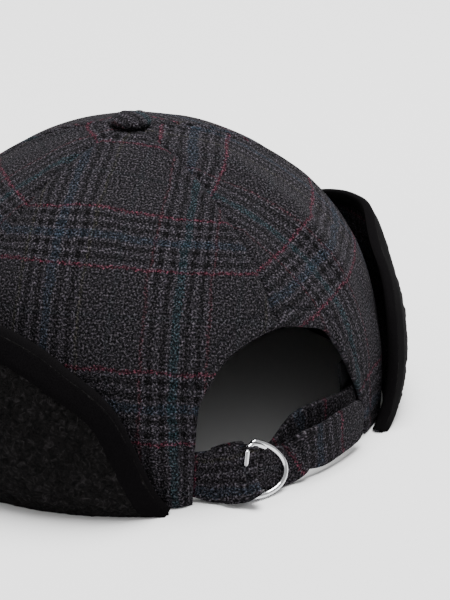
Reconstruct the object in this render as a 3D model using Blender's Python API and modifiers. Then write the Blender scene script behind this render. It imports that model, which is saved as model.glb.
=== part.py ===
"""A five-panel wool check cap with turned-up ear flaps, as it lies on a table.

Metres, +Z up. The table top is z = 0, the peak points to -Y and the wearer's left is +X.
Angles round the crown start at the centre-back seam and grow toward the wearer's left.
The crown is modelled round x = y = 0, and main moves the finished cap to its own origin.
"""
import math

import bmesh
import bpy
from mathutils import Vector

# The crown, a soft dome whose outer face is a superellipse of revolution
CROWN_HALF_WIDTH = 0.0980
CROWN_BACK_REACH = 0.0912
CROWN_FRONT_REACH = 0.0920
CROWN_HEIGHT = 0.1117
CROWN_LEAN = 0.0084
RISE_POWER = 2.855
INTURN_POWER = 1.719
BASE_TUCK = 0.0214
FRONT_LIFT = 0.0200
CLOTH_WALL = 0.0022
CROWN_HOLE_RADIUS = 0.0030

# Clearances that keep touching pieces apart
SEAM_GAP = 0.0004
SEAT_GAP = 0.0003
CLOTH_EASE = 0.0007
BINDING_EASE = 0.0005
FACET_EASE = 0.0006

# The seams, as angles from the centre back
LEFT_SIDE_SEAM = 82.0
LEFT_FRONT_SEAM = 146.0
RIGHT_FRONT_SEAM = 216.0
RIGHT_SIDE_SEAM = 290.0
LIFT_START_ANGLE = 112.0

# The arch cut out of the back, above the strap
ARCH_HEIGHT = 0.0578
ARCH_LEFT_REACH = 0.0412
ARCH_RIGHT_REACH = 0.0470

# The covered button on top
BUTTON_DIAMETER = 0.0155
BUTTON_HEIGHT = 0.0052
BUTTON_SHANK_RADIUS = 0.0018
BUTTON_SHANK_LENGTH = 0.0035

# The sweatband inside the base
BAND_HEIGHT = 0.0320
BAND_WALL = 0.0012
BAND_LEFT_END = 27.5
BAND_RIGHT_END = 337.0

# The peak
PEAK_LENGTH = 0.0700
PEAK_WALL = 0.0036
PEAK_HALF_ANGLE = 52.0
PEAK_CORNER_LENGTH = 0.0070
PEAK_FLARE = 0.0060
PEAK_DROOP = 0.0060

# The ear flaps, folded up outside the crown
FLAP_REAR_ANGLE = 31.0
FLAP_FRONT_ANGLE = 124.0
LEFT_FLAP_HEIGHT = 0.0670
RIGHT_FLAP_HEIGHT = 0.0660
FLAP_STAND_OFF_WIDTH = 0.0029
FLAP_CURL_LENGTH = 0.0100
FLAP_SPRING_WIDTH = 0.0075
FLAP_SPRING_START = 54.0
FLAP_SPRING_END = 75.0
FLAP_FOLD_HEIGHT = 0.0040
FLAP_SHELL_WALL = 0.0014
FLEECE_WALL = 0.0030
FLEECE_EDGE_WALL = 0.0012
FLEECE_TAPER_WIDTH = 0.0110
BINDING_WALL = 0.0010
BINDING_OUTER_WIDTH = 0.0078
BINDING_INNER_WIDTH = 0.0045

# The rear strap and its two D-rings
STRAP_WIDTH = 0.0200
STRAP_WALL = 0.0022
LOOP_WALL = 0.0016
LOOP_EASE = 0.0006
WIRE_DIAMETER = 0.0022
RING_HEIGHT = 0.0224
RING_DEPTH = 0.0190
RING_CORNER = 0.0018
RING_SPREAD = 7.8
BUCKLE_X = 0.0215
BUCKLE_SET_IN = 0.0050
BUCKLE_Z = 0.0119
BUCKLE_ROLL = 11.0
BUCKLE_SLANT = 9.0
STRAP_HIDDEN_LENGTH = 0.0150
STRAP_EXIT = -3.0
STRAP_OVERLAP = 3.0
MAIN_STRAP_LIFT = 0.0036
MAIN_STRAP_TRIM = 0.0018

# The short strap's plies on their way to the bars: distance along the strap, spread beyond the
# half of two plies, share of the way to the bars
PLY_BENDS = (
    (-0.0105, 0.0006, 0.50),
    (-0.0055, 0.0002, 0.85),
    (-0.0022, 0.0000, 1.00),
    (0.0000, 0.0000, 1.00),
)

# The long strap inside the arch: angle from the centre back, depth under the crown's outer face
MAIN_STRAP_ROUTE = (
    (-20.0, 0.0044),
    (-12.0, 0.0068),
    (-5.0, 0.0080),
)

# The strap's tail as it comes back out through the arch: the same two columns
TAIL_ROUTE = (
    (-3.0, 0.0022),
    (-9.0, 0.0016),
    (-15.0, 0.0006),
)

# The tail's tip outside the crown: angle from the centre back, share of the strap's width
TAIL_TIP = (
    (-20.0, 1.00),
    (-25.0, 1.00),
    (-27.5, 0.92),
    (-29.2, 0.72),
    (-30.2, 0.42),
)

# The arch's edge: share of the arch height, of the left reach and of the right reach
ARCH_EDGE = (
    (0.00, 1.000, 1.000),
    (0.20, 0.980, 0.925),
    (0.35, 0.960, 0.855),
    (0.53, 0.930, 0.735),
    (0.66, 0.890, 0.665),
    (0.76, 0.795, 0.595),
    (0.88, 0.635, 0.500),
    (0.95, 0.440, 0.290),
    (0.99, 0.200, 0.130),
    (1.00, 0.000, 0.000),
)

# A flap's free edge: share of the way round from rear to front, share of the flap's height
FLAP_EDGE = (
    (0.000, 0.000),
    (0.020, 0.062),
    (0.040, 0.146),
    (0.060, 0.266),
    (0.080, 0.397),
    (0.102, 0.522),
    (0.130, 0.624),
    (0.170, 0.706),
    (0.226, 0.787),
    (0.292, 0.873),
    (0.370, 0.950),
    (0.450, 1.000),
    (0.540, 0.985),
    (0.630, 0.935),
    (0.715, 0.860),
    (0.790, 0.765),
    (0.855, 0.640),
    (0.905, 0.500),
    (0.945, 0.350),
    (0.975, 0.180),
    (1.000, 0.000),
)

# Soft folds of the crown: start angle and height share, end angle and height share,
# share of the crown's half width across the fold, rise as a share of the cloth wall
CROWN_FOLDS = (
    (332.0, 0.930, 329.0, 0.520, 0.085, 0.95),
    (345.0, 0.740, 318.0, 0.360, 0.090, -0.55),
    (29.0, 0.020, 35.0, 0.260, 0.045, 0.60),
    (41.0, 0.020, 46.0, 0.240, 0.050, 0.45),
    (60.0, 0.950, 24.0, 0.860, 0.110, -0.45),
    (322.0, 0.040, 318.0, 0.330, 0.050, 0.55),
)

# Numbers of facets
PANEL_COLUMNS = 7
ARCH_COLUMNS = 9
PANEL_ROWS = 11
ROW_CROWDING = 1.6
BAND_COLUMNS = 44
PEAK_COLUMNS = 24
PEAK_ROWS = 6
FLAP_RINGS = (0.0, 0.14, 0.28, 0.42, 0.56, 0.70, 0.82, 0.92, 1.0)
BUTTON_SIDES = 20
WIRE_BEVEL_RESOLUTION = 2

COLLECTION_NAME = "check_cap"

# The whole cap is moved back so that its origin is under the middle of its outline
OUTLINE_SHIFT = 0.0355


def clear_scene():
    """Remove whatever the file opened with."""
    for item in list(bpy.data.objects):
        bpy.data.objects.remove(item, do_unlink=True)


def make_collection():
    collection = bpy.data.collections.new(COLLECTION_NAME)
    bpy.context.scene.collection.children.link(collection)
    return collection


def make_material(name, colour, roughness, metallic=0.0):
    material = bpy.data.materials.new(name)
    material.use_nodes = True
    shader = material.node_tree.nodes["Principled BSDF"]
    shader.inputs["Base Color"].default_value = (*colour, 1.0)
    shader.inputs["Roughness"].default_value = roughness
    shader.inputs["Metallic"].default_value = metallic
    material.diffuse_color = (*colour, 1.0)
    return material


def smoothstep(low, high, value):
    share = min(1.0, max(0.0, (value - low) / (high - low)))
    return share * share * (3.0 - 2.0 * share)


def interpolate(rows, value, column):
    """Read one column of a table whose first column grows."""
    if value <= rows[0][0]:
        return rows[0][column]
    for low, high in zip(rows, rows[1:]):
        if value <= high[0]:
            share = (value - low[0]) / (high[0] - low[0])
            return low[column] + share * (high[column] - low[column])
    return rows[-1][column]


def signed_angle(angle):
    """The same angle between -180 and 180 degrees."""
    return (angle + 180.0) % 360.0 - 180.0


def base_height(angle):
    """Height of the crown's lower edge above the table: the peak lifts the front."""
    return FRONT_LIFT * smoothstep(LIFT_START_ANGLE, 180.0, abs(signed_angle(angle)))


def radius_share(height_share):
    """Radius of the dome at a share of its height, as a share of its half width."""
    height_share = min(1.0, max(0.0, height_share))
    dome = (1.0 - height_share ** RISE_POWER) ** (1.0 / INTURN_POWER)
    return dome * (1.0 - BASE_TUCK * (1.0 - height_share) ** 3)


def fold_rise(angle, height_share):
    """How far the soft folds push the cloth out at a place on the crown."""
    rise = 0.0
    for start, start_height, end, end_height, width, depth in CROWN_FOLDS:
        reach = CROWN_HALF_WIDTH * radius_share(height_share)
        across = math.radians(signed_angle(angle - start)) * reach
        up = (height_share - start_height) * CROWN_HEIGHT
        run_across = math.radians(signed_angle(end - start)) * reach
        run_up = (end_height - start_height) * CROWN_HEIGHT
        length = run_across ** 2 + run_up ** 2
        along = min(1.0, max(0.0, (across * run_across + up * run_up) / length))
        away = math.hypot(across - along * run_across, up - along * run_up)
        rise += depth * CLOTH_WALL * math.exp(-(away / (width * CROWN_HALF_WIDTH)) ** 2)
    return rise


def crown_point(angle, height_share, inset=0.0):
    """A point of the crown's outer face, or of the face that lies inset under it."""
    step = 0.002
    share = radius_share(height_share)
    slope_out = radius_share(height_share - step) - radius_share(height_share + step)
    low = max(0.0, height_share - step)
    high = min(1.0, height_share + step)
    slope_up = (high - low) * CROWN_HEIGHT / CROWN_HALF_WIDTH
    size = math.hypot(slope_out, slope_up)
    normal_out = slope_up / size
    normal_up = slope_out / size * min(1.0, max(0.0, height_share) / 0.05)
    rise = fold_rise(angle, height_share) * smoothstep(1.0, 0.9, height_share)
    shift = rise - inset
    turn = math.radians(angle)
    reach = CROWN_BACK_REACH if math.cos(turn) > 0.0 else CROWN_FRONT_REACH
    out_x = CROWN_HALF_WIDTH * share + shift * normal_out
    out_y = reach * share + shift * normal_out
    height = CROWN_HEIGHT * height_share + shift * normal_up
    lean = CROWN_LEAN * height_share
    return Vector((out_x * math.sin(turn), out_y * math.cos(turn) - lean, height))


def under_crown(angle, height, inset):
    """A point at a height and a depth under the crown's outer face, taken without its folds."""
    share = height / CROWN_HEIGHT
    return crown_point(angle, share, inset + fold_rise(angle, share))


def arch_angles():
    """The angles where the arch meets the table, left and right of the centre back."""
    radius = CROWN_HALF_WIDTH * radius_share(0.0)
    left = math.degrees(math.asin(ARCH_LEFT_REACH / radius))
    right = math.degrees(math.asin(ARCH_RIGHT_REACH / radius))
    return left, right


def arch_height(angle):
    """Height of the crown's lower edge over the arch, or 0 beside it."""
    angle = signed_angle(angle)
    left, right = arch_angles()
    full = left if angle >= 0.0 else right
    column = 1 if angle >= 0.0 else 2
    share = abs(angle) / full
    if share >= 1.0:
        return 0.0
    rows = [(row[column], row[0]) for row in reversed(ARCH_EDGE)]
    return ARCH_HEIGHT * interpolate(rows, share, 1)


def new_object(name, mesh, material, collection):
    mesh.materials.append(material)
    item = bpy.data.objects.new(name, mesh)
    collection.objects.link(item)
    return item


def closed_mesh(name, points, faces):
    """A closed mesh from points and faces, with its normals turned outward."""
    mesh = bpy.data.meshes.new(name)
    build = bmesh.new()
    corners = [build.verts.new(point) for point in points]
    for face in faces:
        build.faces.new([corners[index] for index in face])
    bmesh.ops.recalc_face_normals(build, faces=build.faces)
    build.to_mesh(mesh)
    build.free()
    mesh.shade_smooth()
    mesh.set_sharp_from_angle(angle=math.radians(40.0))
    return mesh


def wall_mesh(name, outer, inner):
    """A closed wall lofted between an outer and an inner grid of like rows and columns."""
    rows = len(outer)
    columns = len(outer[0])
    points = [point for row in outer for point in row]
    points += [point for row in inner for point in row]
    offset = rows * columns
    faces = []
    for row in range(rows - 1):
        for column in range(columns - 1):
            first = row * columns + column
            quad = (first, first + 1, first + columns + 1, first + columns)
            faces.append(quad)
            faces.append(tuple(offset + index for index in reversed(quad)))
    edge = [column for column in range(columns)]
    edge += [row * columns + columns - 1 for row in range(1, rows)]
    edge += [(rows - 1) * columns + column for column in range(columns - 2, -1, -1)]
    edge += [row * columns for row in range(rows - 2, 0, -1)]
    for start, end in zip(edge, edge[1:] + edge[:1]):
        faces.append((end, start, offset + start, offset + end))
    return closed_mesh(name, points, faces)


def sweep_mesh(name, sections):
    """A closed solid lofted through sections of like corners, with capped ends."""
    corners = len(sections[0])
    points = [point for section in sections for point in section]
    faces = [tuple(range(corners)), tuple(reversed(range(len(points) - corners, len(points))))]
    for station in range(len(sections) - 1):
        for corner in range(corners):
            first = station * corners + corner
            second = station * corners + (corner + 1) % corners
            faces.append((first, first + corners, second + corners, second))
    return closed_mesh(name, points, faces)


def panel_columns(start, end):
    """Shares across a panel, closer together where the arch's edge is steep."""
    left, right = arch_angles()
    shares = [index / PANEL_COLUMNS for index in range(PANEL_COLUMNS + 1)]
    if start == 0.0:
        arch = left / (end - start)
        curve = [arch * math.sin(0.5 * math.pi * index / ARCH_COLUMNS) for index in range(ARCH_COLUMNS)]
        rest = [arch + (1.0 - arch) * index / PANEL_COLUMNS for index in range(PANEL_COLUMNS + 1)]
        shares = curve + rest
    if end == 360.0:
        arch = right / (end - start)
        curve = [arch * math.sin(0.5 * math.pi * index / ARCH_COLUMNS) for index in range(ARCH_COLUMNS)]
        rest = [arch + (1.0 - arch) * index / PANEL_COLUMNS for index in range(PANEL_COLUMNS + 1)]
        shares = [1.0 - share for share in reversed(curve + rest)]
    return shares


def make_panel(name, start, end, material, collection):
    """One gore of the crown between two seams, from its lower edge to the button."""
    top_share = (1.0 - (CROWN_HOLE_RADIUS / CROWN_HALF_WIDTH) ** INTURN_POWER) ** (1.0 / RISE_POWER)
    top_turn = math.asin(top_share ** (0.5 * RISE_POWER))
    outer = []
    inner = []
    for row in range(PANEL_ROWS + 1):
        outer_row = []
        inner_row = []
        for share in panel_columns(start, end):
            angle = start + (end - start) * share
            low = max(base_height(angle), arch_height(angle)) / CROWN_HEIGHT
            low_turn = math.asin(low ** (0.5 * RISE_POWER))
            turn = low_turn + (top_turn - low_turn) * (row / PANEL_ROWS) ** ROW_CROWDING
            height_share = math.sin(turn) ** (2.0 / RISE_POWER)
            radius = CROWN_HALF_WIDTH * radius_share(height_share)
            trim = math.degrees(0.5 * SEAM_GAP / radius)
            placed = start + trim + (end - start - 2.0 * trim) * share
            outer_row.append(crown_point(placed, height_share))
            inner_row.append(crown_point(placed, height_share, CLOTH_WALL))
        outer.append(outer_row)
        inner.append(inner_row)
    mesh = wall_mesh(name, outer, inner)
    return new_object(name, mesh, material, collection)


def make_crown(material, collection):
    seams = (
        ("crown_panel_back_left", 0.0, LEFT_SIDE_SEAM),
        ("crown_panel_side_left", LEFT_SIDE_SEAM, LEFT_FRONT_SEAM),
        ("crown_panel_front", LEFT_FRONT_SEAM, RIGHT_FRONT_SEAM),
        ("crown_panel_side_right", RIGHT_FRONT_SEAM, RIGHT_SIDE_SEAM),
        ("crown_panel_back_right", RIGHT_SIDE_SEAM, 360.0),
    )
    for name, start, end in seams:
        make_panel(name, start, end, material, collection)


def make_button(material, collection):
    """The covered button, a turned dome with a shank through the hole where the seams meet."""
    radius = 0.5 * BUTTON_DIAMETER
    seat = CROWN_HEIGHT + SEAT_GAP
    steps = 6
    profile = [Vector((0.0, 0.0, seat + BUTTON_HEIGHT))]
    for step in range(1, steps + 1):
        turn = 0.5 * math.pi * step / steps
        height = seat + BUTTON_HEIGHT * (0.22 + 0.78 * math.cos(turn))
        profile.append(Vector((radius * math.sin(turn), 0.0, height)))
    profile.append(Vector((radius * 0.93, 0.0, seat)))
    profile.append(Vector((BUTTON_SHANK_RADIUS, 0.0, seat)))
    profile.append(Vector((BUTTON_SHANK_RADIUS, 0.0, seat - BUTTON_SHANK_LENGTH)))
    profile.append(Vector((0.0, 0.0, seat - BUTTON_SHANK_LENGTH)))
    mesh = bpy.data.meshes.new("button")
    edges = [(index, index + 1) for index in range(len(profile) - 1)]
    mesh.from_pydata(profile, edges, [])
    item = new_object("button", mesh, material, collection)
    item.location = (0.0, -CROWN_LEAN, 0.0)
    screw = item.modifiers.new("turn", "SCREW")
    screw.axis = "Z"
    screw.angle = 2.0 * math.pi
    screw.steps = BUTTON_SIDES
    screw.render_steps = BUTTON_SIDES
    screw.use_merge_vertices = True
    screw.merge_threshold = 0.00005
    screw.use_smooth_shade = True
    return item


def band_inset(angle):
    """How deep the sweatband lies: deeper at the back, where the strap's ends are held."""
    base = CLOTH_WALL + CLOTH_EASE
    strap_zone = 1.0 - smoothstep(44.0, 56.0, abs(signed_angle(angle)))
    return base + (STRAP_WALL + CLOTH_EASE) * strap_zone


def make_sweatband(material, collection):
    """The inner band, a strip round the base from one side of the arch to the other."""
    heights = (0.0, 0.35, 0.7, 1.0)
    mesh = bpy.data.meshes.new("sweatband")
    points = []
    faces = []
    for column in range(BAND_COLUMNS + 1):
        angle = BAND_LEFT_END + (BAND_RIGHT_END - BAND_LEFT_END) * column / BAND_COLUMNS
        low = base_height(angle) + SEAT_GAP + 0.5 * BAND_WALL
        depth = band_inset(angle) + 0.5 * BAND_WALL
        for share in heights:
            points.append(under_crown(angle, low + BAND_HEIGHT * share, depth))
    rows = len(heights)
    for column in range(BAND_COLUMNS):
        for row in range(rows - 1):
            first = column * rows + row
            faces.append((first, first + rows, first + rows + 1, first + 1))
    mesh.from_pydata(points, [], faces)
    item = new_object("sweatband", mesh, material, collection)
    wall = item.modifiers.new("wall", "SOLIDIFY")
    wall.thickness = BAND_WALL
    wall.offset = 0.0
    wall.use_even_offset = True
    return item


def peak_point(across, forward):
    """A point of the peak's middle surface: across from -1 to 1, forward from 0 to 1."""
    root_angle = 180.0 - PEAK_HALF_ANGLE * across
    low = base_height(root_angle)
    top = low + PEAK_WALL + SEAT_GAP
    root = crown_point(root_angle, top / CROWN_HEIGHT, -FACET_EASE)
    root.z = low + 0.5 * PEAK_WALL + SEAT_GAP
    round_off = 1.0 - abs(across) ** 3.6
    arch = 1.0 - abs(across) ** 1.9
    length = PEAK_CORNER_LENGTH + (PEAK_LENGTH - PEAK_CORNER_LENGTH) * round_off
    tip_x = root.x + PEAK_FLARE * across
    tip_y = root.y - length
    corner_z = 0.5 * PEAK_WALL + 2.0 * SEAT_GAP
    tip_z = corner_z + (FRONT_LIFT - PEAK_DROOP) * arch
    drop = 0.65 * forward + 0.35 * (1.0 - math.cos(0.5 * math.pi * forward))
    x = root.x + (tip_x - root.x) * forward
    y = root.y + (tip_y - root.y) * forward
    z = root.z + (tip_z - root.z) * drop
    return Vector((x, y, z))


def make_peak(material, collection):
    """The peak, a stiff cloth-covered sheet that arches from side to side."""
    mesh = bpy.data.meshes.new("peak")
    points = []
    faces = []
    for column in range(PEAK_COLUMNS + 1):
        across = -math.cos(math.pi * column / PEAK_COLUMNS)
        for row in range(PEAK_ROWS + 1):
            points.append(peak_point(across * 0.985, row / PEAK_ROWS))
    rows = PEAK_ROWS + 1
    for column in range(PEAK_COLUMNS):
        for row in range(PEAK_ROWS):
            first = column * rows + row
            faces.append((first, first + 1, first + rows + 1, first + rows))
    mesh.from_pydata(points, [], faces)
    item = new_object("peak", mesh, material, collection)
    wall = item.modifiers.new("wall", "SOLIDIFY")
    wall.thickness = PEAK_WALL
    wall.offset = 0.0
    return item


def flap_outline(height):
    """The flap's free edge as (angle, height) pairs, rear to front."""
    turn = FLAP_FRONT_ANGLE - FLAP_REAR_ANGLE
    return [(FLAP_REAR_ANGLE + turn * row[0], height * row[1]) for row in FLAP_EDGE]


def flap_point(side, angle, height, offset):
    """A point beside the crown, offset outward from the inner face of the turned-up flap."""
    low = base_height(angle)
    level = low + height
    tall = LEFT_FLAP_HEIGHT if side > 0.0 else RIGHT_FLAP_HEIGHT
    curl = FLAP_STAND_OFF_WIDTH * (1.0 - math.exp(-height / FLAP_CURL_LENGTH))
    past_rear = smoothstep(FLAP_SPRING_START, FLAP_SPRING_END, angle)
    spring = FLAP_SPRING_WIDTH * past_rear * max(0.0, height / tall) ** 3
    stand = FACET_EASE + curl + spring + offset
    share = radius_share(level / CROWN_HEIGHT)
    bulge = max(0.0, fold_rise(side * angle, level / CROWN_HEIGHT))
    half_width = CROWN_HALF_WIDTH * share + stand + bulge
    turn = math.radians(angle)
    reach = CROWN_BACK_REACH if math.cos(turn) > 0.0 else CROWN_FRONT_REACH
    half_depth = reach * share + stand + bulge
    lean = CROWN_LEAN * level / CROWN_HEIGHT
    return Vector((side * half_width * math.sin(turn), half_depth * math.cos(turn) - lean, level))


def flap_grid(side, height, offset_at):
    """Points on rays from the middle of the flap's fold to its free edge."""
    middle = 0.5 * (FLAP_REAR_ANGLE + FLAP_FRONT_ANGLE)
    grid = []
    for edge_angle, edge_height in flap_outline(height):
        row = []
        arc = math.radians(edge_angle - middle) * CROWN_HALF_WIDTH
        length = math.hypot(arc, edge_height)
        for share in FLAP_RINGS[1:]:
            angle = middle + (edge_angle - middle) * share
            level = edge_height * share
            offset = offset_at((1.0 - share) * length, level)
            row.append(flap_point(side, angle, level, offset))
        grid.append(row)
    centre = flap_point(side, middle, 0.0, offset_at(CROWN_HALF_WIDTH, 0.0))
    return grid, centre


def flap_mesh(name, side, height, inner_at, outer_at):
    """A closed sheet between two faces of the flap."""
    points = []
    faces = []
    tops = []
    for offset_at in (inner_at, outer_at):
        grid, centre = flap_grid(side, height, offset_at)
        tops.append(len(points))
        points.append(centre)
        for row in grid:
            points.extend(row)
    rays = len(FLAP_EDGE)
    rings = len(FLAP_RINGS) - 1
    for top in tops:
        for ray in range(rays - 1):
            first = top + 1 + ray * rings
            faces.append((top, first, first + rings))
            for ring in range(rings - 1):
                corner = first + ring
                faces.append((corner, corner + 1, corner + rings + 1, corner + rings))
    edge = [0]
    edge += [1 + ring for ring in range(rings)]
    edge += [1 + ray * rings + rings - 1 for ray in range(1, rays)]
    edge += [1 + (rays - 1) * rings + ring for ring in range(rings - 2, -1, -1)]
    for start, end in zip(edge, edge[1:] + edge[:1]):
        faces.append((tops[0] + start, tops[0] + end, tops[1] + end, tops[1] + start))
    return closed_mesh(name, points, faces)


def shell_offset(from_edge, level):
    """Gap kept for the binding's inner leg, closed up along the fold at the crown's edge."""
    room = BINDING_WALL + BINDING_EASE
    near_fold = math.exp(-level / FLAP_FOLD_HEIGHT)
    inside = smoothstep(BINDING_INNER_WIDTH, 2.5 * BINDING_INNER_WIDTH, from_edge)
    return room * (1.0 - near_fold * inside)


def fleece_wall(from_edge):
    """Thickness of the fleece, pressed thin where the binding holds its edge."""
    share = smoothstep(0.0, FLEECE_TAPER_WIDTH, from_edge)
    return FLEECE_EDGE_WALL + (FLEECE_WALL - FLEECE_EDGE_WALL) * share


def binding_section(side, edge_angle, edge_height):
    """The U of the binding round the flap's edge, at one point of the edge."""
    middle = 0.5 * (FLAP_REAR_ANGLE + FLAP_FRONT_ANGLE)
    arc = math.radians(edge_angle - middle) * CROWN_HALF_WIDTH
    length = math.hypot(arc, edge_height)
    fleece_face = BINDING_WALL + BINDING_EASE + FLAP_SHELL_WALL + SEAT_GAP
    section = []
    rim = BINDING_WALL + BINDING_EASE
    clear = BINDING_EASE
    over_edge = fleece_face + FLEECE_EDGE_WALL + BINDING_EASE
    over_inside = fleece_face + fleece_wall(BINDING_OUTER_WIDTH) + BINDING_EASE
    half_way = 0.5 * BINDING_OUTER_WIDTH
    over_half = fleece_face + fleece_wall(half_way) + BINDING_EASE
    outline = (
        (BINDING_OUTER_WIDTH, over_inside + BINDING_WALL),
        (half_way, over_half + BINDING_WALL),
        (-0.4 * rim, over_edge + BINDING_WALL),
        (-rim, over_edge),
        (-rim, BINDING_WALL),
        (-0.4 * rim, 0.0),
        (BINDING_INNER_WIDTH, 0.0),
        (BINDING_INNER_WIDTH, BINDING_WALL),
        (-clear, BINDING_WALL),
        (-clear, over_edge),
        (half_way, over_half),
        (BINDING_OUTER_WIDTH, over_inside),
    )
    for inward, offset in outline:
        share = 1.0 - inward / length
        angle = middle + (edge_angle - middle) * share
        section.append(flap_point(side, angle, edge_height * share, offset))
    return section


def make_flap(side_name, side, height, materials, collection):
    """One ear flap: its check shell, its fleece and the tape that binds their edge."""
    over_shell = FLAP_SHELL_WALL + SEAT_GAP
    shell = flap_mesh(
        "flap_shell_" + side_name, side, height,
        shell_offset,
        lambda from_edge, level: shell_offset(from_edge, level) + FLAP_SHELL_WALL,
    )
    new_object("flap_shell_" + side_name, shell, materials["check"], collection)
    fleece = flap_mesh(
        "flap_fleece_" + side_name, side, height,
        lambda from_edge, level: shell_offset(from_edge, level) + over_shell,
        lambda from_edge, level: shell_offset(from_edge, level) + over_shell + fleece_wall(from_edge),
    )
    new_object("flap_fleece_" + side_name, fleece, materials["fleece"], collection)
    sections = [binding_section(side, angle, level) for angle, level in flap_outline(height)]
    binding = sweep_mesh("flap_binding_" + side_name, sections)
    new_object("flap_binding_" + side_name, binding, materials["tape"], collection)


def buckle_axes():
    """The buckle's own directions: along the strap to the right, outward, and up."""
    roll = math.radians(BUCKLE_ROLL)
    slant = math.radians(BUCKLE_SLANT)
    up = Vector((-math.sin(roll), -math.sin(slant), math.cos(roll) * math.cos(slant))).normalized()
    out = Vector((0.0, 1.0, 0.0))
    out = (out - up * out.dot(up)).normalized()
    along = up.cross(out).normalized()
    if along.x > 0.0:
        along = -along
    return along, out, up


def buckle_point(along, out, up):
    """A point given in the buckle's own directions, from the middle of the two bars."""
    axis_along, axis_out, axis_up = buckle_axes()
    origin = Vector((BUCKLE_X, CROWN_BACK_REACH - BUCKLE_SET_IN, BUCKLE_Z))
    return origin + axis_along * along + axis_out * out + axis_up * up


def ring_outline():
    """Half the D in its own plane as (depth, height) pairs, from the bar's middle up and round."""
    half = 0.5 * (RING_HEIGHT - WIRE_DIAMETER)
    depth = RING_DEPTH - WIRE_DIAMETER
    points = [(0.0, 0.0), (0.0, 0.45 * half)]
    for turn in (180.0, 150.0, 120.0, 90.0):
        x = RING_CORNER * (1.0 + math.cos(math.radians(turn)))
        y = half - RING_CORNER * (1.0 - math.sin(math.radians(turn)))
        points.append((x, y))
    for turn in (76.0, 66.0, 56.0, 46.0, 36.0, 26.0, 17.0, 8.0, 0.0):
        points.append((depth * math.cos(math.radians(turn)), half * math.sin(math.radians(turn))))
    return points


def make_ring(name, side, material, collection):
    """One D-ring: a round wire with a straight bar, turned a little about that bar."""
    upper = ring_outline()
    lower = [(depth, -height) for depth, height in reversed(upper[1:-1])]
    spread = math.radians(RING_SPREAD) * side
    bar_out = side * (0.5 * WIRE_DIAMETER + 0.5 * SEAT_GAP + 0.00005)
    curve = bpy.data.curves.new(name, "CURVE")
    curve.dimensions = "3D"
    curve.bevel_depth = 0.5 * WIRE_DIAMETER
    curve.bevel_resolution = WIRE_BEVEL_RESOLUTION
    spline = curve.splines.new("POLY")
    outline = upper + lower
    spline.points.add(len(outline) - 1)
    spline.use_cyclic_u = True
    for point, (depth, height) in zip(spline.points, outline):
        place = buckle_point(depth * math.cos(spread), bar_out + depth * math.sin(spread), height)
        point.co = (*place, 1.0)
    curve.materials.append(material)
    item = bpy.data.objects.new(name, curve)
    collection.objects.link(item)
    return item


def strap_station(angle, inset, low, width, wall):
    """One station of a strap that follows the crown's wall at a depth under its outer face."""
    bottom = under_crown(angle, low, inset)
    top = under_crown(angle, low + STRAP_WIDTH, inset)
    return (0.5 * (bottom + top), (top - bottom).normalized(), width, wall)


def strap_sections(stations):
    """Sections of a band across its route: rows of middle, up direction, width and wall."""
    sections = []
    for index, (middle, up, width, wall) in enumerate(stations):
        before = stations[max(0, index - 1)][0]
        after = stations[min(len(stations) - 1, index + 1)][0]
        run = (after - before).normalized()
        up = (up - run * up.dot(run)).normalized()
        face = run.cross(up).normalized()
        half = 0.5 * width
        thin = 0.5 * wall
        sections.append([
            middle - up * half - face * thin,
            middle - up * (half - thin) - face * thin,
            middle + up * (half - thin) - face * thin,
            middle + up * half - face * thin,
            middle + up * half + face * thin,
            middle - up * half + face * thin,
        ])
    return sections


def loop_height():
    """Height of the strap where it passes inside the rings' bars."""
    return RING_HEIGHT - 2.0 * WIRE_DIAMETER - 2.0 * SEAT_GAP


def loop_end():
    """How far the short strap's loop reaches past the middle of the bars."""
    return 0.5 * WIRE_DIAMETER + SEAT_GAP + LOOP_WALL + LOOP_EASE


def make_short_strap(material, collection):
    """The wearer's-left strap, folded round the bars of the two rings."""
    up = Vector((0.0, 0.0, 1.0))
    buckle_up = buckle_axes()[2]
    room = WIRE_DIAMETER + 2.0 * SEAT_GAP + 0.5 * LOOP_WALL
    end = loop_end() - 0.5 * LOOP_WALL
    narrow = loop_height()
    ply = 0.5 * LOOP_WALL + 0.5 * SEAT_GAP
    start_inset = CLOTH_WALL + CLOTH_EASE
    left = arch_angles()[0]
    outer = []
    inner = []
    hidden = math.degrees(STRAP_HIDDEN_LENGTH / CROWN_HALF_WIDTH)
    thin = min(LOOP_WALL, 0.5 * (STRAP_WALL - SEAT_GAP))
    for beyond, shift in ((hidden, 0.0), (0.5 * hidden, 0.0), (0.0, 0.0), (STRAP_EXIT, -0.5 * STRAP_WALL)):
        depth = start_inset + 0.5 * thin + shift
        outer.append(strap_station(left + beyond, depth, SEAT_GAP, STRAP_WIDTH, thin))
        depth += thin + SEAT_GAP
        inner.append(strap_station(left + beyond, depth, SEAT_GAP, STRAP_WIDTH, thin))
    spreads = (ply, 0.5 * (ply + room), room, room)
    for spread, (along, ease, share) in zip(spreads, PLY_BENDS):
        out = spread + ease
        blend_up = (up * (1.0 - share) + buckle_up * share).normalized()
        width = STRAP_WIDTH + (narrow - STRAP_WIDTH) * smoothstep(0.4, 1.0, share)
        outer.append((buckle_point(along, out, 0.0), blend_up, width, LOOP_WALL))
        inner.append((buckle_point(along, -out, 0.0), blend_up, width, LOOP_WALL))
    middle = []
    for degrees in (60.0, 30.0, 0.0, -30.0, -60.0):
        along = end * math.cos(math.radians(degrees))
        out = room * math.sin(math.radians(degrees))
        middle.append((buckle_point(along, out, 0.0), buckle_up, narrow, LOOP_WALL))
    stations = outer + middle + list(reversed(inner))
    mesh = sweep_mesh("strap_short", strap_sections(stations))
    return new_object("strap_short", mesh, material, collection)


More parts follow.
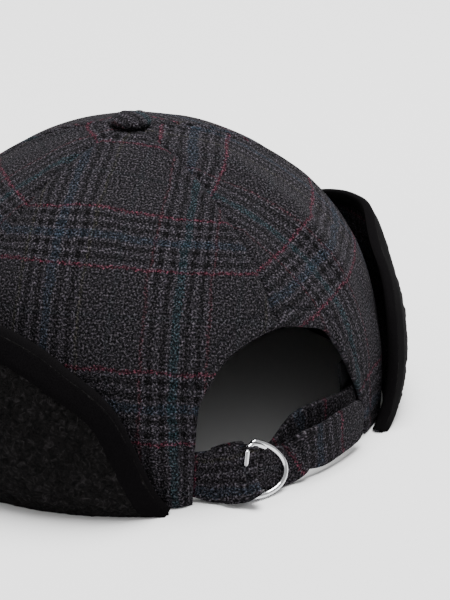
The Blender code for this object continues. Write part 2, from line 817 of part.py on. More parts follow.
def make_long_strap(material, collection):
    """The wearer's-right strap: up through both rings, back over one and under the other."""
    buckle_up = buckle_axes()[2]
    right = -arch_angles()[1]
    hidden = math.degrees(STRAP_HIDDEN_LENGTH / CROWN_HALF_WIDTH)
    inset = CLOTH_WALL + CLOTH_EASE + 0.5 * STRAP_WALL
    reach = (RING_DEPTH - WIRE_DIAMETER) * math.sin(math.radians(RING_SPREAD))
    ring_out = 0.5 * WIRE_DIAMETER + 0.5 * SEAT_GAP + reach
    main_out = -(ring_out + 0.5 * WIRE_DIAMETER + SEAT_GAP + 0.5 * STRAP_WALL + 0.0001)
    narrow = loop_height() - MAIN_STRAP_TRIM
    tail_low = 2.0 * SEAT_GAP
    stations = []
    for share in (0.0, 0.5, 1.0):
        angle = right - hidden * (1.0 - share) + STRAP_OVERLAP * share
        stations.append(strap_station(angle, inset, MAIN_STRAP_LIFT, STRAP_WIDTH, STRAP_WALL))
    for angle, depth in MAIN_STRAP_ROUTE:
        stations.append(strap_station(angle, depth, MAIN_STRAP_LIFT, STRAP_WIDTH, STRAP_WALL))
    radius = -0.5 * main_out
    fold_at = loop_end() + SEAT_GAP + 0.5 * STRAP_WALL + radius
    half_way = 0.5 * (RING_DEPTH + fold_at)
    at_rings = buckle_point(RING_DEPTH, main_out, 0.0030)
    stations.append((at_rings, buckle_up, narrow + 0.0020, STRAP_WALL))
    stations.append((buckle_point(half_way, main_out, 0.0010), buckle_up, narrow, STRAP_WALL))
    for turn in (270.0, 240.0, 210.0, 180.0, 150.0, 120.0, 90.0):
        along = fold_at + radius * math.cos(math.radians(turn))
        out = 0.5 * main_out + radius * math.sin(math.radians(turn))
        stations.append((buckle_point(along, out, 0.0), buckle_up, narrow, STRAP_WALL))
    stations.append((buckle_point(half_way, 0.0, 0.0), buckle_up, narrow, STRAP_WALL))
    past_rings = buckle_point(RING_DEPTH + 0.0010, 0.0, 0.0009)
    stations.append((past_rings, buckle_up, narrow + 0.0008, STRAP_WALL))
    for angle, depth in TAIL_ROUTE:
        stations.append(strap_station(angle, depth, tail_low, STRAP_WIDTH, STRAP_WALL))
    outside = FACET_EASE + 0.5 * STRAP_WALL
    for angle, width in TAIL_TIP:
        stations.append(strap_station(angle, -outside, tail_low, STRAP_WIDTH * width, STRAP_WALL))
    mesh = sweep_mesh("strap_long", strap_sections(stations))
    return new_object("strap_long", mesh, material, collection)


def main():
    clear_scene()
    collection = make_collection()
    materials = {
        "check": make_material("wool_check", (0.045, 0.044, 0.050), 0.92),
        "fleece": make_material("fleece_pile", (0.010, 0.010, 0.011), 0.95),
        "tape": make_material("binding_tape", (0.012, 0.012, 0.013), 0.65),
        "band": make_material("sweatband_twill", (0.014, 0.014, 0.016), 0.80),
        "wire": make_material("plated_wire", (0.75, 0.75, 0.77), 0.12, 1.0),
    }
    make_crown(materials["check"], collection)
    make_button(materials["check"], collection)
    make_sweatband(materials["band"], collection)
    make_peak(materials["check"], collection)
    make_flap("left", 1.0, LEFT_FLAP_HEIGHT, materials, collection)
    make_flap("right", -1.0, RIGHT_FLAP_HEIGHT, materials, collection)
    make_ring("d_ring_outer", 1.0, materials["wire"], collection)
    make_ring("d_ring_inner", -1.0, materials["wire"], collection)
    make_short_strap(materials["check"], collection)
    make_long_strap(materials["check"], collection)
    for item in collection.objects:
        item.location.y += OUTLINE_SHIFT
    bpy.context.view_layer.update()


main()
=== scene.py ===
import bisect
import math

import bmesh
import bpy
from mathutils import Matrix, Vector, kdtree, noise


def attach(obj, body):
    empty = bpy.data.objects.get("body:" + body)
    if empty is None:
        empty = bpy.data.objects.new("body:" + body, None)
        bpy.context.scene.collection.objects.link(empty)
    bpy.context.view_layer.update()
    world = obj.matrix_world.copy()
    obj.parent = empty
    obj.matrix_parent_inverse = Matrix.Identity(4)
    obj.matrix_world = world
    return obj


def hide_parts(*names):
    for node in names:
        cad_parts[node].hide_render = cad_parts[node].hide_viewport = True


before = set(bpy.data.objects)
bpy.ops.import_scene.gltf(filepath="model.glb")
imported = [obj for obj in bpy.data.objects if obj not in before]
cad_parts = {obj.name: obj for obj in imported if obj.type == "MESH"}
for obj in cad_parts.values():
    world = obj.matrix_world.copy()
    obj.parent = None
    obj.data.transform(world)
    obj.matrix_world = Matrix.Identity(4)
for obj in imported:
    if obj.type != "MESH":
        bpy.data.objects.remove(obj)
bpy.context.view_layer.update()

# Sizes of the cap, in metres, round the middle of the crown
CROWN_HALF_WIDTH = 0.0980
CROWN_BACK_REACH = 0.0912
CROWN_FRONT_REACH = 0.0920
CROWN_HEIGHT = 0.1117
CROWN_LEAN = 0.0084
RISE_POWER = 2.855
INTURN_POWER = 1.719
BASE_TUCK = 0.0214
FRONT_LIFT = 0.0200
LIFT_START_ANGLE = 112.0
CLOTH_WALL = 0.0022
# Turns an angle at the crown's foot into a distance round it
FOOT_RADIUS = 0.0940
# From the crown's middle to the middle of the cap's outline
OUTLINE_SHIFT = 0.0355

# Seam angles from the centre back toward the wearer's left
SEAMS = (0.0, 82.0, 146.0, 216.0, 290.0, 360.0)
PANEL_NAMES = ("back_left", "side_left", "front", "side_right", "back_right")

# How the check lies on each panel: middle angle of the grain, shift across, shift along, stretch along
PANEL_CHECK = {
    "back_left": (52.0, 0.0381, 0.0655, 1.0),
    "side_left": (112.0, 0.0150, 0.0655, 1.0),
    "front": (180.0, 0.0245, 0.0655, 1.0),
    "side_right": (252.0, 0.0245, 0.0905, 1.0),
    "back_right": (310.0, -0.0430, 0.0905, 1.06),
}

# The sewing: relief beside a seam and a hem, and the rows of stitches
SEAM_PUFF = 0.00055
SEAM_PUFF_AT = 0.0030
SEAM_PUFF_WIDTH = 0.0022
SEAM_GROOVE = 0.0006
SEAM_GROOVE_WIDTH = 0.0009
HEM_PUFF = 0.0003
HEM_PUFF_WIDTH = 0.0020
SEAM_STITCH_ROW = 0.0052
HEM_STITCH_ROW = 0.0062
STITCH_DIP = 0.00025
HEM_DIP = 0.00035
STITCH_DIP_WIDTH = 0.0007
STITCH_PITCH = 0.0030
STITCH_LENGTH = 0.0022
THREAD_WIDTH = 0.00045
THREAD_HEIGHT = 0.0004

# The arch over the strap
ARCH_HEIGHT = 0.0578
ARCH_LEFT_REACH = 0.0412
ARCH_RIGHT_REACH = 0.0470
# Its edge: share of the height, shares of the left and the right reach
ARCH_EDGE = (
    (0.00, 1.000, 1.000), (0.20, 0.980, 0.925), (0.35, 0.960, 0.855), (0.53, 0.930, 0.735),
    (0.66, 0.890, 0.665), (0.76, 0.795, 0.595), (0.88, 0.635, 0.500), (0.95, 0.440, 0.290),
    (0.99, 0.200, 0.130), (1.00, 0.000, 0.000),
)

# The panels end this far from the middle, under the button
TOP_HOLE = 0.0025

# Soft folds: start angle and height share, end angle and height share,
# share of the half width across the fold, rise as a share of the cloth wall
CROWN_FOLDS = (
    (332.0, 0.930, 329.0, 0.520, 0.085, 0.95),
    (345.0, 0.740, 318.0, 0.360, 0.090, -0.55),
    (29.0, 0.020, 35.0, 0.260, 0.045, 0.60),
    (41.0, 0.020, 46.0, 0.240, 0.050, 0.45),
    (60.0, 0.950, 24.0, 0.860, 0.110, -0.45),
    (322.0, 0.040, 318.0, 0.330, 0.050, 0.55),
)

# The ear flaps
FLAP_REAR_ANGLE = 31.0
FLAP_FRONT_ANGLE = 124.0
LEFT_FLAP_HEIGHT = 0.0670
RIGHT_FLAP_HEIGHT = 0.0660
FLAP_STAND_OFF = 0.0029
FLAP_CURL = 0.0100
FLAP_SPRING = 0.0075
FLAP_SPRING_START = 54.0
FLAP_SPRING_END = 75.0
FACET_EASE = 0.0006
# The flap's layers, outward from its inner face
FLAP_PLAY = 0.0015
SHELL_WALL = 0.0014
LAYER_GAP = 0.0001
FLEECE_WALL = 0.0014
FLEECE_PUFF = 0.0018
FLEECE_PUFF_REACH = 0.0110
# The flap is drawn in by this at both ends of its fold line
FLAP_END_EASE = 0.0004
EDGE_SPACING = 0.0012
# Where the flap is cut from the checked cloth
FLAP_CUT = (0.0120, -0.0450)
# Section of the binding tape: inward from the flap's edge, outward from its inner face
BINDING_REACH = 0.0078
BINDING_SECTION = (
    (0.0078, 0.00580), (0.0070, 0.00610), (0.0050, 0.00580), (0.0030, 0.00515), (0.0012, 0.00470),
    (-0.0004, 0.00420), (-0.0012, 0.00310), (-0.0015, 0.00210), (-0.0012, 0.00090), (-0.0004, 0.00025),
    (0.0010, 0.00000), (0.0045, 0.00010), (0.0045, 0.00095), (0.0010, 0.00105), (-0.0003, 0.00110),
    (-0.0004, 0.00320), (0.0012, 0.00360), (0.0030, 0.00410), (0.0050, 0.00475), (0.0078, 0.00500),
)
# The free edge: share of the fold line, share of the flap's height
FLAP_EDGE = (
    (0.000, 0.000), (0.020, 0.062), (0.040, 0.146), (0.060, 0.266), (0.080, 0.397),
    (0.102, 0.522), (0.130, 0.624), (0.170, 0.706), (0.226, 0.787), (0.292, 0.873),
    (0.370, 0.950), (0.450, 1.000), (0.540, 0.985), (0.630, 0.935), (0.715, 0.860),
    (0.790, 0.765), (0.855, 0.640), (0.905, 0.500), (0.945, 0.350), (0.975, 0.180),
    (1.000, 0.000),
)

# The peak
PEAK_LENGTH = 0.0700
PEAK_WALL = 0.0036
PEAK_HALF_ANGLE = 52.0
PEAK_CORNER_LENGTH = 0.0070
PEAK_FLARE = 0.0060
PEAK_DROOP = 0.0060
PEAK_EDGE_ROUND = 0.0018
PEAK_SIDE_REACH = 0.0850
PEAK_ROWS = 5
PEAK_FIRST_ROW = 0.0055
PEAK_ROW_PITCH = 0.0075
PEAK_ROW_WIDTH = 0.0006
PEAK_ROW_DIP = 0.00022

# The sweatband, button, strap and rings
BAND_HEIGHT = 0.0320
BAND_WALL = 0.0012
BAND_LIFT = 0.0006
BAND_ROLL = 0.0005
BAND_LEFT_END = 27.5
BAND_RIGHT_END = 337.0
BUTTON_DIAMETER = 0.0155
BUTTON_HEIGHT = 0.0040
# Where the button is cut from the checked cloth
BUTTON_CUT = (0.0040, 0.0340)
STRAP_WIDTH = 0.0200
STRAP_WALL = 0.0022
LOOP_WALL = 0.0016
LOOP_EASE = 0.0006
SEAT_GAP = 0.0003
CLOTH_EASE = 0.0007
STRAP_HIDDEN_LENGTH = 0.0150
# The sewn edge seams of a strap: share pressed in, distance from the edge, width
STRAP_SEAM_PRESS = 0.16
STRAP_SEAM_AT = 0.0022
STRAP_SEAM_WIDTH = 0.0005
WIRE_DIAMETER = 0.0022
RING_HEIGHT = 0.0224
RING_DEPTH = 0.0190
RING_CORNER = 0.0030
BUCKLE_X = 0.0224
BUCKLE_Y = 0.0882
BUCKLE_Z = 0.0119
BUCKLE_ROLL = 14.0
BUCKLE_SLANT = 13.0

# How each ring hangs: the middle of its bar, its roll, slant and turn in degrees
RING_POSES = {
    "d_ring_outer": ((0.0217, 0.0882, 0.0117), 19.4, 17.9, 8.4),
    "d_ring_inner": ((0.0244, 0.0898, 0.0117), 12.4, 8.4, -12.3),
}


# Numbers
def smoothstep(low, high, value):
    share = min(1.0, max(0.0, (value - low) / (high - low)))
    return share * share * (3.0 - 2.0 * share)


def bump(value, middle, width):
    return math.exp(-((value - middle) / width) ** 2)


def signed_angle(angle):
    return (angle + 180.0) % 360.0 - 180.0


def smooth_line(points, steps):
    """A Catmull-Rom line through points of any dimension."""
    line = []
    for index in range(len(points) - 1):
        a = points[max(0, index - 1)]
        b = points[index]
        c = points[index + 1]
        d = points[min(len(points) - 1, index + 2)]
        for step in range(steps):
            t = step / steps
            row = []
            for p, q, r, s in zip(a, b, c, d):
                row.append(0.5 * (2 * q + (r - p) * t + (2 * p - 5 * q + 4 * r - s) * t * t
                                  + (3 * q - p - 3 * r + s) * t * t * t))
            line.append(tuple(row))
    line.append(tuple(points[-1]))
    return line


def lookup(rows, value):
    """Read the second column of rows whose first column grows."""
    index = min(max(bisect.bisect_right(rows, (value, math.inf)), 1), len(rows) - 1)
    (low, start), (high, end) = rows[index - 1:index + 1]
    share = (value - low) / (high - low) if high > low else 1.0
    return start + min(1.0, max(0.0, share)) * (end - start)


# The crown's form
def base_height(angle):
    return FRONT_LIFT * smoothstep(LIFT_START_ANGLE, 180.0, abs(signed_angle(angle)))


def radius_share(height_share):
    height_share = min(1.0, max(0.0, height_share))
    dome = (1.0 - height_share ** RISE_POWER) ** (1.0 / INTURN_POWER)
    return dome * (1.0 - BASE_TUCK * (1.0 - height_share) ** 3)


def fold_rise(angle, height_share):
    rise = 0.0
    for start, start_height, end, end_height, width, depth in CROWN_FOLDS:
        reach = CROWN_HALF_WIDTH * radius_share(height_share)
        across = math.radians(signed_angle(angle - start)) * reach
        up = (height_share - start_height) * CROWN_HEIGHT
        run_across = math.radians(signed_angle(end - start)) * reach
        run_up = (end_height - start_height) * CROWN_HEIGHT
        length = run_across ** 2 + run_up ** 2
        along = min(1.0, max(0.0, (across * run_across + up * run_up) / length))
        away = math.hypot(across - along * run_across, up - along * run_up)
        rise += depth * CLOTH_WALL * math.exp(-(away / (width * CROWN_HALF_WIDTH)) ** 2)
    return rise


def crown_normal(height_share):
    step = 0.002
    slope_out = radius_share(height_share - step) - radius_share(height_share + step)
    low = max(0.0, height_share - step)
    high = min(1.0, height_share + step)
    slope_up = (high - low) * CROWN_HEIGHT / CROWN_HALF_WIDTH
    size = math.hypot(slope_out, slope_up)
    return slope_up / size, slope_out / size * min(1.0, max(0.0, height_share) / 0.05)


def crown_point(angle, height_share, inset=0.0, folds=True):
    """A point of the crown's outer face, or of the face that lies inset under it."""
    share = radius_share(height_share)
    normal_out, normal_up = crown_normal(height_share)
    shift = -inset
    if folds:
        shift += fold_rise(angle, height_share) * smoothstep(1.0, 0.9, height_share)
    turn = math.radians(angle)
    reach = CROWN_BACK_REACH if math.cos(turn) > 0.0 else CROWN_FRONT_REACH
    out_x = CROWN_HALF_WIDTH * share + shift * normal_out
    out_y = reach * share + shift * normal_out
    height = CROWN_HEIGHT * height_share + shift * normal_up
    return Vector((out_x * math.sin(turn), out_y * math.cos(turn) - CROWN_LEAN * height_share, height))


def arch_angles():
    radius = CROWN_HALF_WIDTH * radius_share(0.0)
    return [math.degrees(math.asin(reach / radius)) for reach in (ARCH_LEFT_REACH, ARCH_RIGHT_REACH)]


ARCH_LEFT, ARCH_RIGHT = arch_angles()
arch_line = [(row[1] * ARCH_LEFT, row[0] * ARCH_HEIGHT) for row in ARCH_EDGE]
arch_line += [(-row[2] * ARCH_RIGHT, row[0] * ARCH_HEIGHT) for row in reversed(ARCH_EDGE[:-1])]
ARCH_LINE = smooth_line(arch_line, 8)
ARCH_BY_ANGLE = sorted(ARCH_LINE)


def arch_height(angle):
    angle = signed_angle(angle)
    if angle >= ARCH_LEFT or angle <= -ARCH_RIGHT:
        return 0.0
    return max(0.0, lookup(ARCH_BY_ANGLE, angle))


def meridian_lengths():
    """Pairs of height share and distance along the crown from its top."""
    rows = []
    length = 0.0
    before = None
    for step in range(600):
        turn = 0.5 * math.pi * (1.0 - step / 599.0)
        share = max(0.0, math.sin(turn)) ** (2.0 / RISE_POWER)
        place = (CROWN_HALF_WIDTH * radius_share(share), CROWN_HEIGHT * share)
        if before is not None:
            length += math.hypot(place[0] - before[0], place[1] - before[1])
        before = place
        rows.append((1.0 - share, length))
    return rows


MERIDIAN = meridian_lengths()


def foot_place(angle, height):
    """A place on the crown's lower part laid flat: distance round, height."""
    return Vector((math.radians(angle) * FOOT_RADIUS, height, 0.0))


def arch_tree():
    parts = 6
    tree = kdtree.KDTree(len(ARCH_LINE) * parts)
    for index, (start, end) in enumerate(zip(ARCH_LINE, ARCH_LINE[1:])):
        for part in range(parts):
            tree.insert(foot_place(*start).lerp(foot_place(*end), part / parts), index * parts + part)
    tree.balance()
    return tree


ARCH_TREE = arch_tree()


def arch_distance(angle, height):
    """Distance over the cloth from the arch's edge."""
    return ARCH_TREE.find(foot_place(signed_angle(angle), height))[2]


# Mesh helpers
def add_object(name, data):
    item = bpy.data.objects.new(name, data)
    bpy.context.scene.collection.objects.link(item)
    return item


def finish_piece(item, replaced=None):
    """Move a finished piece to the cap's own origin and hand it to the frame."""
    item.data.transform(Matrix.Translation((0.0, OUTLINE_SHIFT, 0.0)))
    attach(item, "root")
    if replaced:
        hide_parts(replaced)
    return item


def mesh_piece(name, slot, replaced, points, faces, cloth=None, smooth_angle=50.0):
    """A finished piece with its faces outward and, for cloth, its weave coordinates in metres."""
    mesh = bpy.data.meshes.new(name)
    build = bmesh.new()
    corners = [build.verts.new(point) for point in points]
    for face in faces:
        try:
            build.faces.new([corners[index] for index in face])
        except ValueError:
            pass
    bmesh.ops.recalc_face_normals(build, faces=build.faces)
    if cloth is not None:
        layer = build.loops.layers.uv.new("cloth")
        build.verts.index_update()
        for face in build.faces:
            for loop in face.loops:
                loop[layer].uv = cloth[loop.vert.index]
    build.to_mesh(mesh)
    build.free()
    mesh.shade_smooth()
    mesh.set_sharp_from_angle(angle=math.radians(smooth_angle))
    mesh.materials.append(MATERIALS[slot])
    return finish_piece(add_object(name, mesh), replaced)


def wall_piece(name, slot, replaced, outer, inner, columns, cloth=None, smooth_angle=50.0):
    """A closed wall between two like grids of points, given row by row."""
    faces = []
    offset = len(outer)
    rows = offset // columns
    for row in range(rows - 1):
        for column in range(columns - 1):
            first = row * columns + column
            quad = (first, first + 1, first + columns + 1, first + columns)
            faces.append(quad)
            faces.append(tuple(offset + index for index in reversed(quad)))
    edge = list(range(columns))
    edge += [row * columns + columns - 1 for row in range(1, rows)]
    edge += [(rows - 1) * columns + column for column in range(columns - 2, -1, -1)]
    edge += [row * columns for row in range(rows - 2, 0, -1)]
    for start, end in zip(edge, edge[1:] + edge[:1]):
        faces.append((end, start, offset + start, offset + end))
    return mesh_piece(name, slot, replaced, outer + inner, faces, cloth and cloth * 2, smooth_angle)


def sweep_piece(name, slot, replaced, sections, cloth=None, closed=False):
    """A solid lofted through sections of like corners, capped unless it closes on itself."""
    corners = len(sections[0])
    points = [point for section in sections for point in section]
    faces = []
    count = len(sections)
    if not closed:
        faces.append(tuple(range(corners)))
        faces.append(tuple(reversed(range(len(points) - corners, len(points)))))
    for station in range(count if closed else count - 1):
        here = station * corners
        there = ((station + 1) % count) * corners
        for corner in range(corners):
            after = (corner + 1) % corners
            faces.append((here + corner, there + corner, there + after, here + after))
    return mesh_piece(name, slot, replaced, points, faces, cloth)


# Materials
def colour(text):
    """An sRGB hex colour as linear values."""
    values = []
    for start in (1, 3, 5):
        level = int(text[start:start + 2], 16) / 255.0
        values.append(level / 12.92 if level <= 0.04045 else ((level + 0.055) / 1.055) ** 2.4)
    return (*values, 1.0)


def put(tree, kind, inputs=(), **settings):
    """Add a node with its settings, and its inputs: a value, or a socket or node to link from."""
    node = tree.nodes.new(kind)
    for name, value in settings.items():
        setattr(node, name, value)
    for key, value in dict(inputs).items():
        if isinstance(value, bpy.types.Node):
            value = value.outputs[0]
        if isinstance(value, bpy.types.NodeSocket):
            tree.links.new(value, node.inputs[key])
        else:
            node.inputs[key].default_value = value
    return node


def new_material(name, roughness, **sockets):
    material = bpy.data.materials.new(name)
    material.use_nodes = True
    tree = material.node_tree
    shader = tree.nodes["Principled BSDF"]
    shader.inputs["Roughness"].default_value = roughness
    for key, value in sockets.items():
        shader.inputs[key.replace("_", " ")].default_value = value
    return material, tree, shader


def set_ramp(node, stops):
    """Fill a colour ramp with (position, colour) stops."""
    ramp = node.color_ramp
    ramp.interpolation = "LINEAR"
    while len(ramp.elements) > 1:
        ramp.elements.remove(ramp.elements[-1])
    for index, (position, value) in enumerate(stops):
        element = ramp.elements[0] if index == 0 else ramp.elements.new(position)
        element.position = position
        element.color = colour(value)


# The yarns of the check: its plain ground, the yarns of its bands and the lines that bound them
PLAIN = "#343236"
LIGHT = "#444147"
DARK = "#171618"
TEAL = "#293c42"
BLUE = "#2e3742"
RED = "#5e2a39"
FAINT_RED = "#46292f"
OLIVE = "#3a3931"
SLATE = "#333438"

# The check, in millimetres: repeats, where a bounding line lies and half its width
WARP_REPEAT = 49.0
WEFT_REPEAT = 62.0
BOUND_AT = 12.4
FAINT_LINE = 0.35
RED_LINE = 0.45
RIB_PITCH = 1.5
# How far the fibres spread in tone, their usual tone and the lightest, as shares of the yarn's
PEPPER_SPREAD = 9.6
PEPPER_LEVEL = 0.31
PEPPER_TOP = 1.7


def stripe_stops(half_repeat, accent, bound, bound_half):
    """Ramp stops for half a repeat, from the middle of a band to the middle of the plain."""
    edges = (
        (0.0, accent), (1.55, accent), (1.75, LIGHT), (3.1, LIGHT), (3.4, DARK), (5.2, DARK),
        (5.5, LIGHT), (7.7, LIGHT), (8.0, DARK), (9.9, DARK), (10.2, LIGHT), (11.6, LIGHT),
        (BOUND_AT - bound_half, bound), (BOUND_AT + bound_half, bound), (13.1, PLAIN),
        (half_repeat - 1.2, PLAIN), (half_repeat - 0.8, SLATE), (half_repeat, SLATE),
    )
    return [(position / half_repeat, value) for position, value in edges]


def wool_check():
    """Milled wool twill woven in a check: matt, each yarn a mix of black, grey and undyed fibres."""
    material, tree, shader = new_material(
        "wool_check", 0.95, Sheen_Weight=0.02, Sheen_Roughness=0.5, Specular_IOR_Level=0.04)
    shader.inputs["Sheen Tint"].default_value = colour("#a8a6ac")
    cloth = put(tree, "ShaderNodeUVMap", uv_map="cloth")
    place = put(tree, "ShaderNodeVectorMath", {0: cloth, "Scale": 1000.0}, operation="SCALE")
    # woven lines wander by a millimetre or so, and their yarns fray into each other
    moved = place
    for scale, reach in ((0.09, 3.4), (1.1, 3.2)):
        drift = put(tree, "ShaderNodeTexNoise", {"Vector": place, "Scale": scale, "Detail": 2.0})
        drift = put(tree, "ShaderNodeVectorMath", {0: drift.outputs["Color"], 1: (0.5, 0.5, 0.5)},
                    operation="SUBTRACT")
        drift = put(tree, "ShaderNodeVectorMath", {0: drift, "Scale": reach}, operation="SCALE")
        moved = put(tree, "ShaderNodeVectorMath", {0: moved, 1: drift}, operation="ADD")
    axes = put(tree, "ShaderNodeSeparateXYZ", {0: moved})
    across = axes.outputs[0]
    along = axes.outputs[1]
    # lengthwise yarns: a teal band and a blue band in turn, WARP_REPEAT apart
    warp = []
    for accent, bound, shift in ((TEAL, FAINT_RED, 0.0), (BLUE, OLIVE, WARP_REPEAT)):
        moved = put(tree, "ShaderNodeMath", {0: across, 1: shift}, operation="SUBTRACT")
        folded = put(tree, "ShaderNodeMath", {0: moved, 1: WARP_REPEAT}, operation="PINGPONG")
        share = put(tree, "ShaderNodeMath", {0: folded, 1: 0.5 * WARP_REPEAT}, operation="DIVIDE")
        ramp = put(tree, "ShaderNodeValToRGB", {0: share})
        set_ramp(ramp, stripe_stops(0.5 * WARP_REPEAT, accent, bound, FAINT_LINE))
        warp.append((ramp, share))
    far = put(tree, "ShaderNodeMath", {0: warp[0][1], 1: 1.0}, operation="GREATER_THAN")
    warp_colour = put(tree, "ShaderNodeMix", {"Factor": far, "A": warp[0][0], "B": warp[1][0]},
                      data_type="RGBA")
    # crosswise yarns: a blue band between two red lines, WEFT_REPEAT apart
    half = 0.5 * WEFT_REPEAT
    folded = put(tree, "ShaderNodeMath", {0: along, 1: half}, operation="PINGPONG")
    share = put(tree, "ShaderNodeMath", {0: folded, 1: half}, operation="DIVIDE")
    weft = put(tree, "ShaderNodeValToRGB", {0: share})
    set_ramp(weft, stripe_stops(half, BLUE, RED, RED_LINE))
    # twill ribs of 0.5 mm yarns, drawn RIB_PITCH apart, coarser than real, so that they show
    rib = put(tree, "ShaderNodeMath", {0: across, 1: along}, operation="ADD")
    rib = put(tree, "ShaderNodeMath", {0: rib, 1: 2.0 * math.pi / RIB_PITCH}, operation="MULTIPLY")
    rib = put(tree, "ShaderNodeMath", {0: rib}, operation="SINE")
    fleck = put(tree, "ShaderNodeTexNoise",
                {"Vector": place, "Scale": 1.25, "Detail": 3.0, "Roughness": 0.75})
    blend = put(tree, "ShaderNodeMath", {0: rib, 1: 0.22, 2: -0.7}, operation="MULTIPLY_ADD")
    blend = put(tree, "ShaderNodeMath", {0: fleck, 1: 2.4, 2: blend},
                operation="MULTIPLY_ADD", use_clamp=True)
    yarn = put(tree, "ShaderNodeMix", {"Factor": blend, "A": warp_colour.outputs["Result"],
                                       "B": weft}, data_type="RGBA")
    # salt and pepper: fibres far lighter or darker than the yarn, in tufts coarser than real so that
    # they show
    pepper = put(tree, "ShaderNodeTexNoise",
                 {"Vector": place, "Scale": 1.3, "Detail": 1.0, "Roughness": 0.6})
    level = pepper
    for operation, value, blend_reach in (
            ("SUBTRACT", 0.5, 0.0), ("MULTIPLY", PEPPER_SPREAD, 0.0), ("EXPONENT", 0.0, 0.0),
            ("MULTIPLY", PEPPER_LEVEL, 0.0), ("SMOOTH_MIN", PEPPER_TOP, 0.8)):
        level = put(tree, "ShaderNodeMath", {0: level, 1: value, 2: blend_reach}, operation=operation)
    toned = put(tree, "ShaderNodeVectorMath", {0: yarn.outputs["Result"], "Scale": level}, operation="SCALE")
    # the dyes differ a little from fibre to fibre
    tint = put(tree, "ShaderNodeVectorMath", {0: pepper.outputs["Color"], 1: (0.25, 0.2, 0.25),
                                              2: (0.875, 0.9, 0.875)}, operation="MULTIPLY_ADD")
    dyed = put(tree, "ShaderNodeVectorMath", {0: toned, 1: tint}, operation="MULTIPLY")
    tree.links.new(dyed.outputs[0], shader.inputs["Base Color"])
    height = put(tree, "ShaderNodeMath", {0: rib, 1: 0.12, 2: pepper}, operation="MULTIPLY_ADD")
    relief = put(tree, "ShaderNodeBump", {"Height": height, "Strength": 0.8, "Distance": 0.0005})
    tree.links.new(relief.outputs[0], shader.inputs["Normal"])
    return material


def fleece_pile():
    """Knitted pile fleece: black curly loops that swallow light and leave soft grey glints."""
    material, tree, shader = new_material(
        "fleece_pile", 1.0, Sheen_Weight=0.10, Sheen_Roughness=0.45, Specular_IOR_Level=0.05)
    shader.inputs["Sheen Tint"].default_value = colour("#6b686a")
    where = put(tree, "ShaderNodeTexCoord").outputs["Object"]
    # curls of about 2.4 mm, with tufts of 0.9 mm on them
    curl = put(tree, "ShaderNodeTexNoise",
               {"Vector": where, "Scale": 420.0, "Detail": 3.0, "Roughness": 0.65, "Distortion": 1.2})
    tuft = put(tree, "ShaderNodeTexNoise", {"Vector": where, "Scale": 1100.0, "Detail": 2.0})
    both = put(tree, "ShaderNodeMath", {0: tuft, 1: 0.5, 2: curl},
               operation="MULTIPLY_ADD")
    ramp = put(tree, "ShaderNodeValToRGB", {0: curl})
    set_ramp(ramp, [(0.35, "#050505"), (0.55, "#100f0f"), (0.72, "#232122")])
    tree.links.new(ramp.outputs[0], shader.inputs["Base Color"])
    relief = put(tree, "ShaderNodeBump", {"Height": both, "Strength": 0.9, "Distance": 0.0009})
    tree.links.new(relief.outputs[0], shader.inputs["Normal"])
    return material


def woven_band(name, base, light, scale):
    """Dyed cotton tape: a fine close weave with a low soft shine."""
    material, tree, shader = new_material(name, 0.9, Specular_IOR_Level=0.03)
    where = put(tree, "ShaderNodeTexCoord").outputs["Object"]
    weave = put(tree, "ShaderNodeTexNoise", {"Vector": where, "Scale": scale, "Detail": 2.0})
    ramp = put(tree, "ShaderNodeValToRGB", {0: weave})
    set_ramp(ramp, [(0.3, base), (0.7, light)])
    tree.links.new(ramp.outputs[0], shader.inputs["Base Color"])
    relief = put(tree, "ShaderNodeBump", {"Height": weave, "Strength": 0.35, "Distance": 0.0002})
    tree.links.new(relief.outputs[0], shader.inputs["Normal"])
    return material


def plated_wire():
    """Nickel-plated steel wire: bright, with a faint polishing haze in patches of about 3 mm."""
    material, tree, shader = new_material("plated_wire", 0.1, Metallic=1.0)
    where = put(tree, "ShaderNodeTexCoord").outputs["Object"]
    haze = put(tree, "ShaderNodeTexNoise", {"Vector": where, "Scale": 300.0, "Detail": 2.0})
    rough = put(tree, "ShaderNodeMapRange", {"Value": haze, "To Min": 0.06, "To Max": 0.2})
    tree.links.new(rough.outputs[0], shader.inputs["Roughness"])
    shader.inputs["Base Color"].default_value = colour("#cfcfd2")
    return material


# A tape's or twill's last value is its threads to the metre: 0.45, 0.67 and 0.33 mm threads
MATERIALS = {
    "wool_check": wool_check(),
    "fleece_pile": fleece_pile(),
    "binding_tape": woven_band("binding_tape", "#050405", "#0a090a", 2200.0),
    "sweatband_twill": woven_band("sweatband_twill", "#141416", "#242426", 1500.0),
    "sewing_thread": woven_band("sewing_thread", "#161618", "#26262a", 3000.0),
    "plated_wire": plated_wire(),
}


# The crown
def cloth_place(panel, angle, height_share):
    """Weave coordinates of a place on a panel: across and along the grain, in metres."""
    middle, shift_across, shift_along, stretch = PANEL_CHECK[panel]
    turn = math.radians(signed_angle(angle - middle))
    radius = CROWN_HALF_WIDTH * radius_share(height_share)
    length = lookup(MERIDIAN, 1.0 - height_share)
    bend = turn * (1.0 - 0.5 * smoothstep(0.03, 0.10, length))
    return (radius * turn + shift_across, (length * math.cos(bend) - shift_along) / stretch)


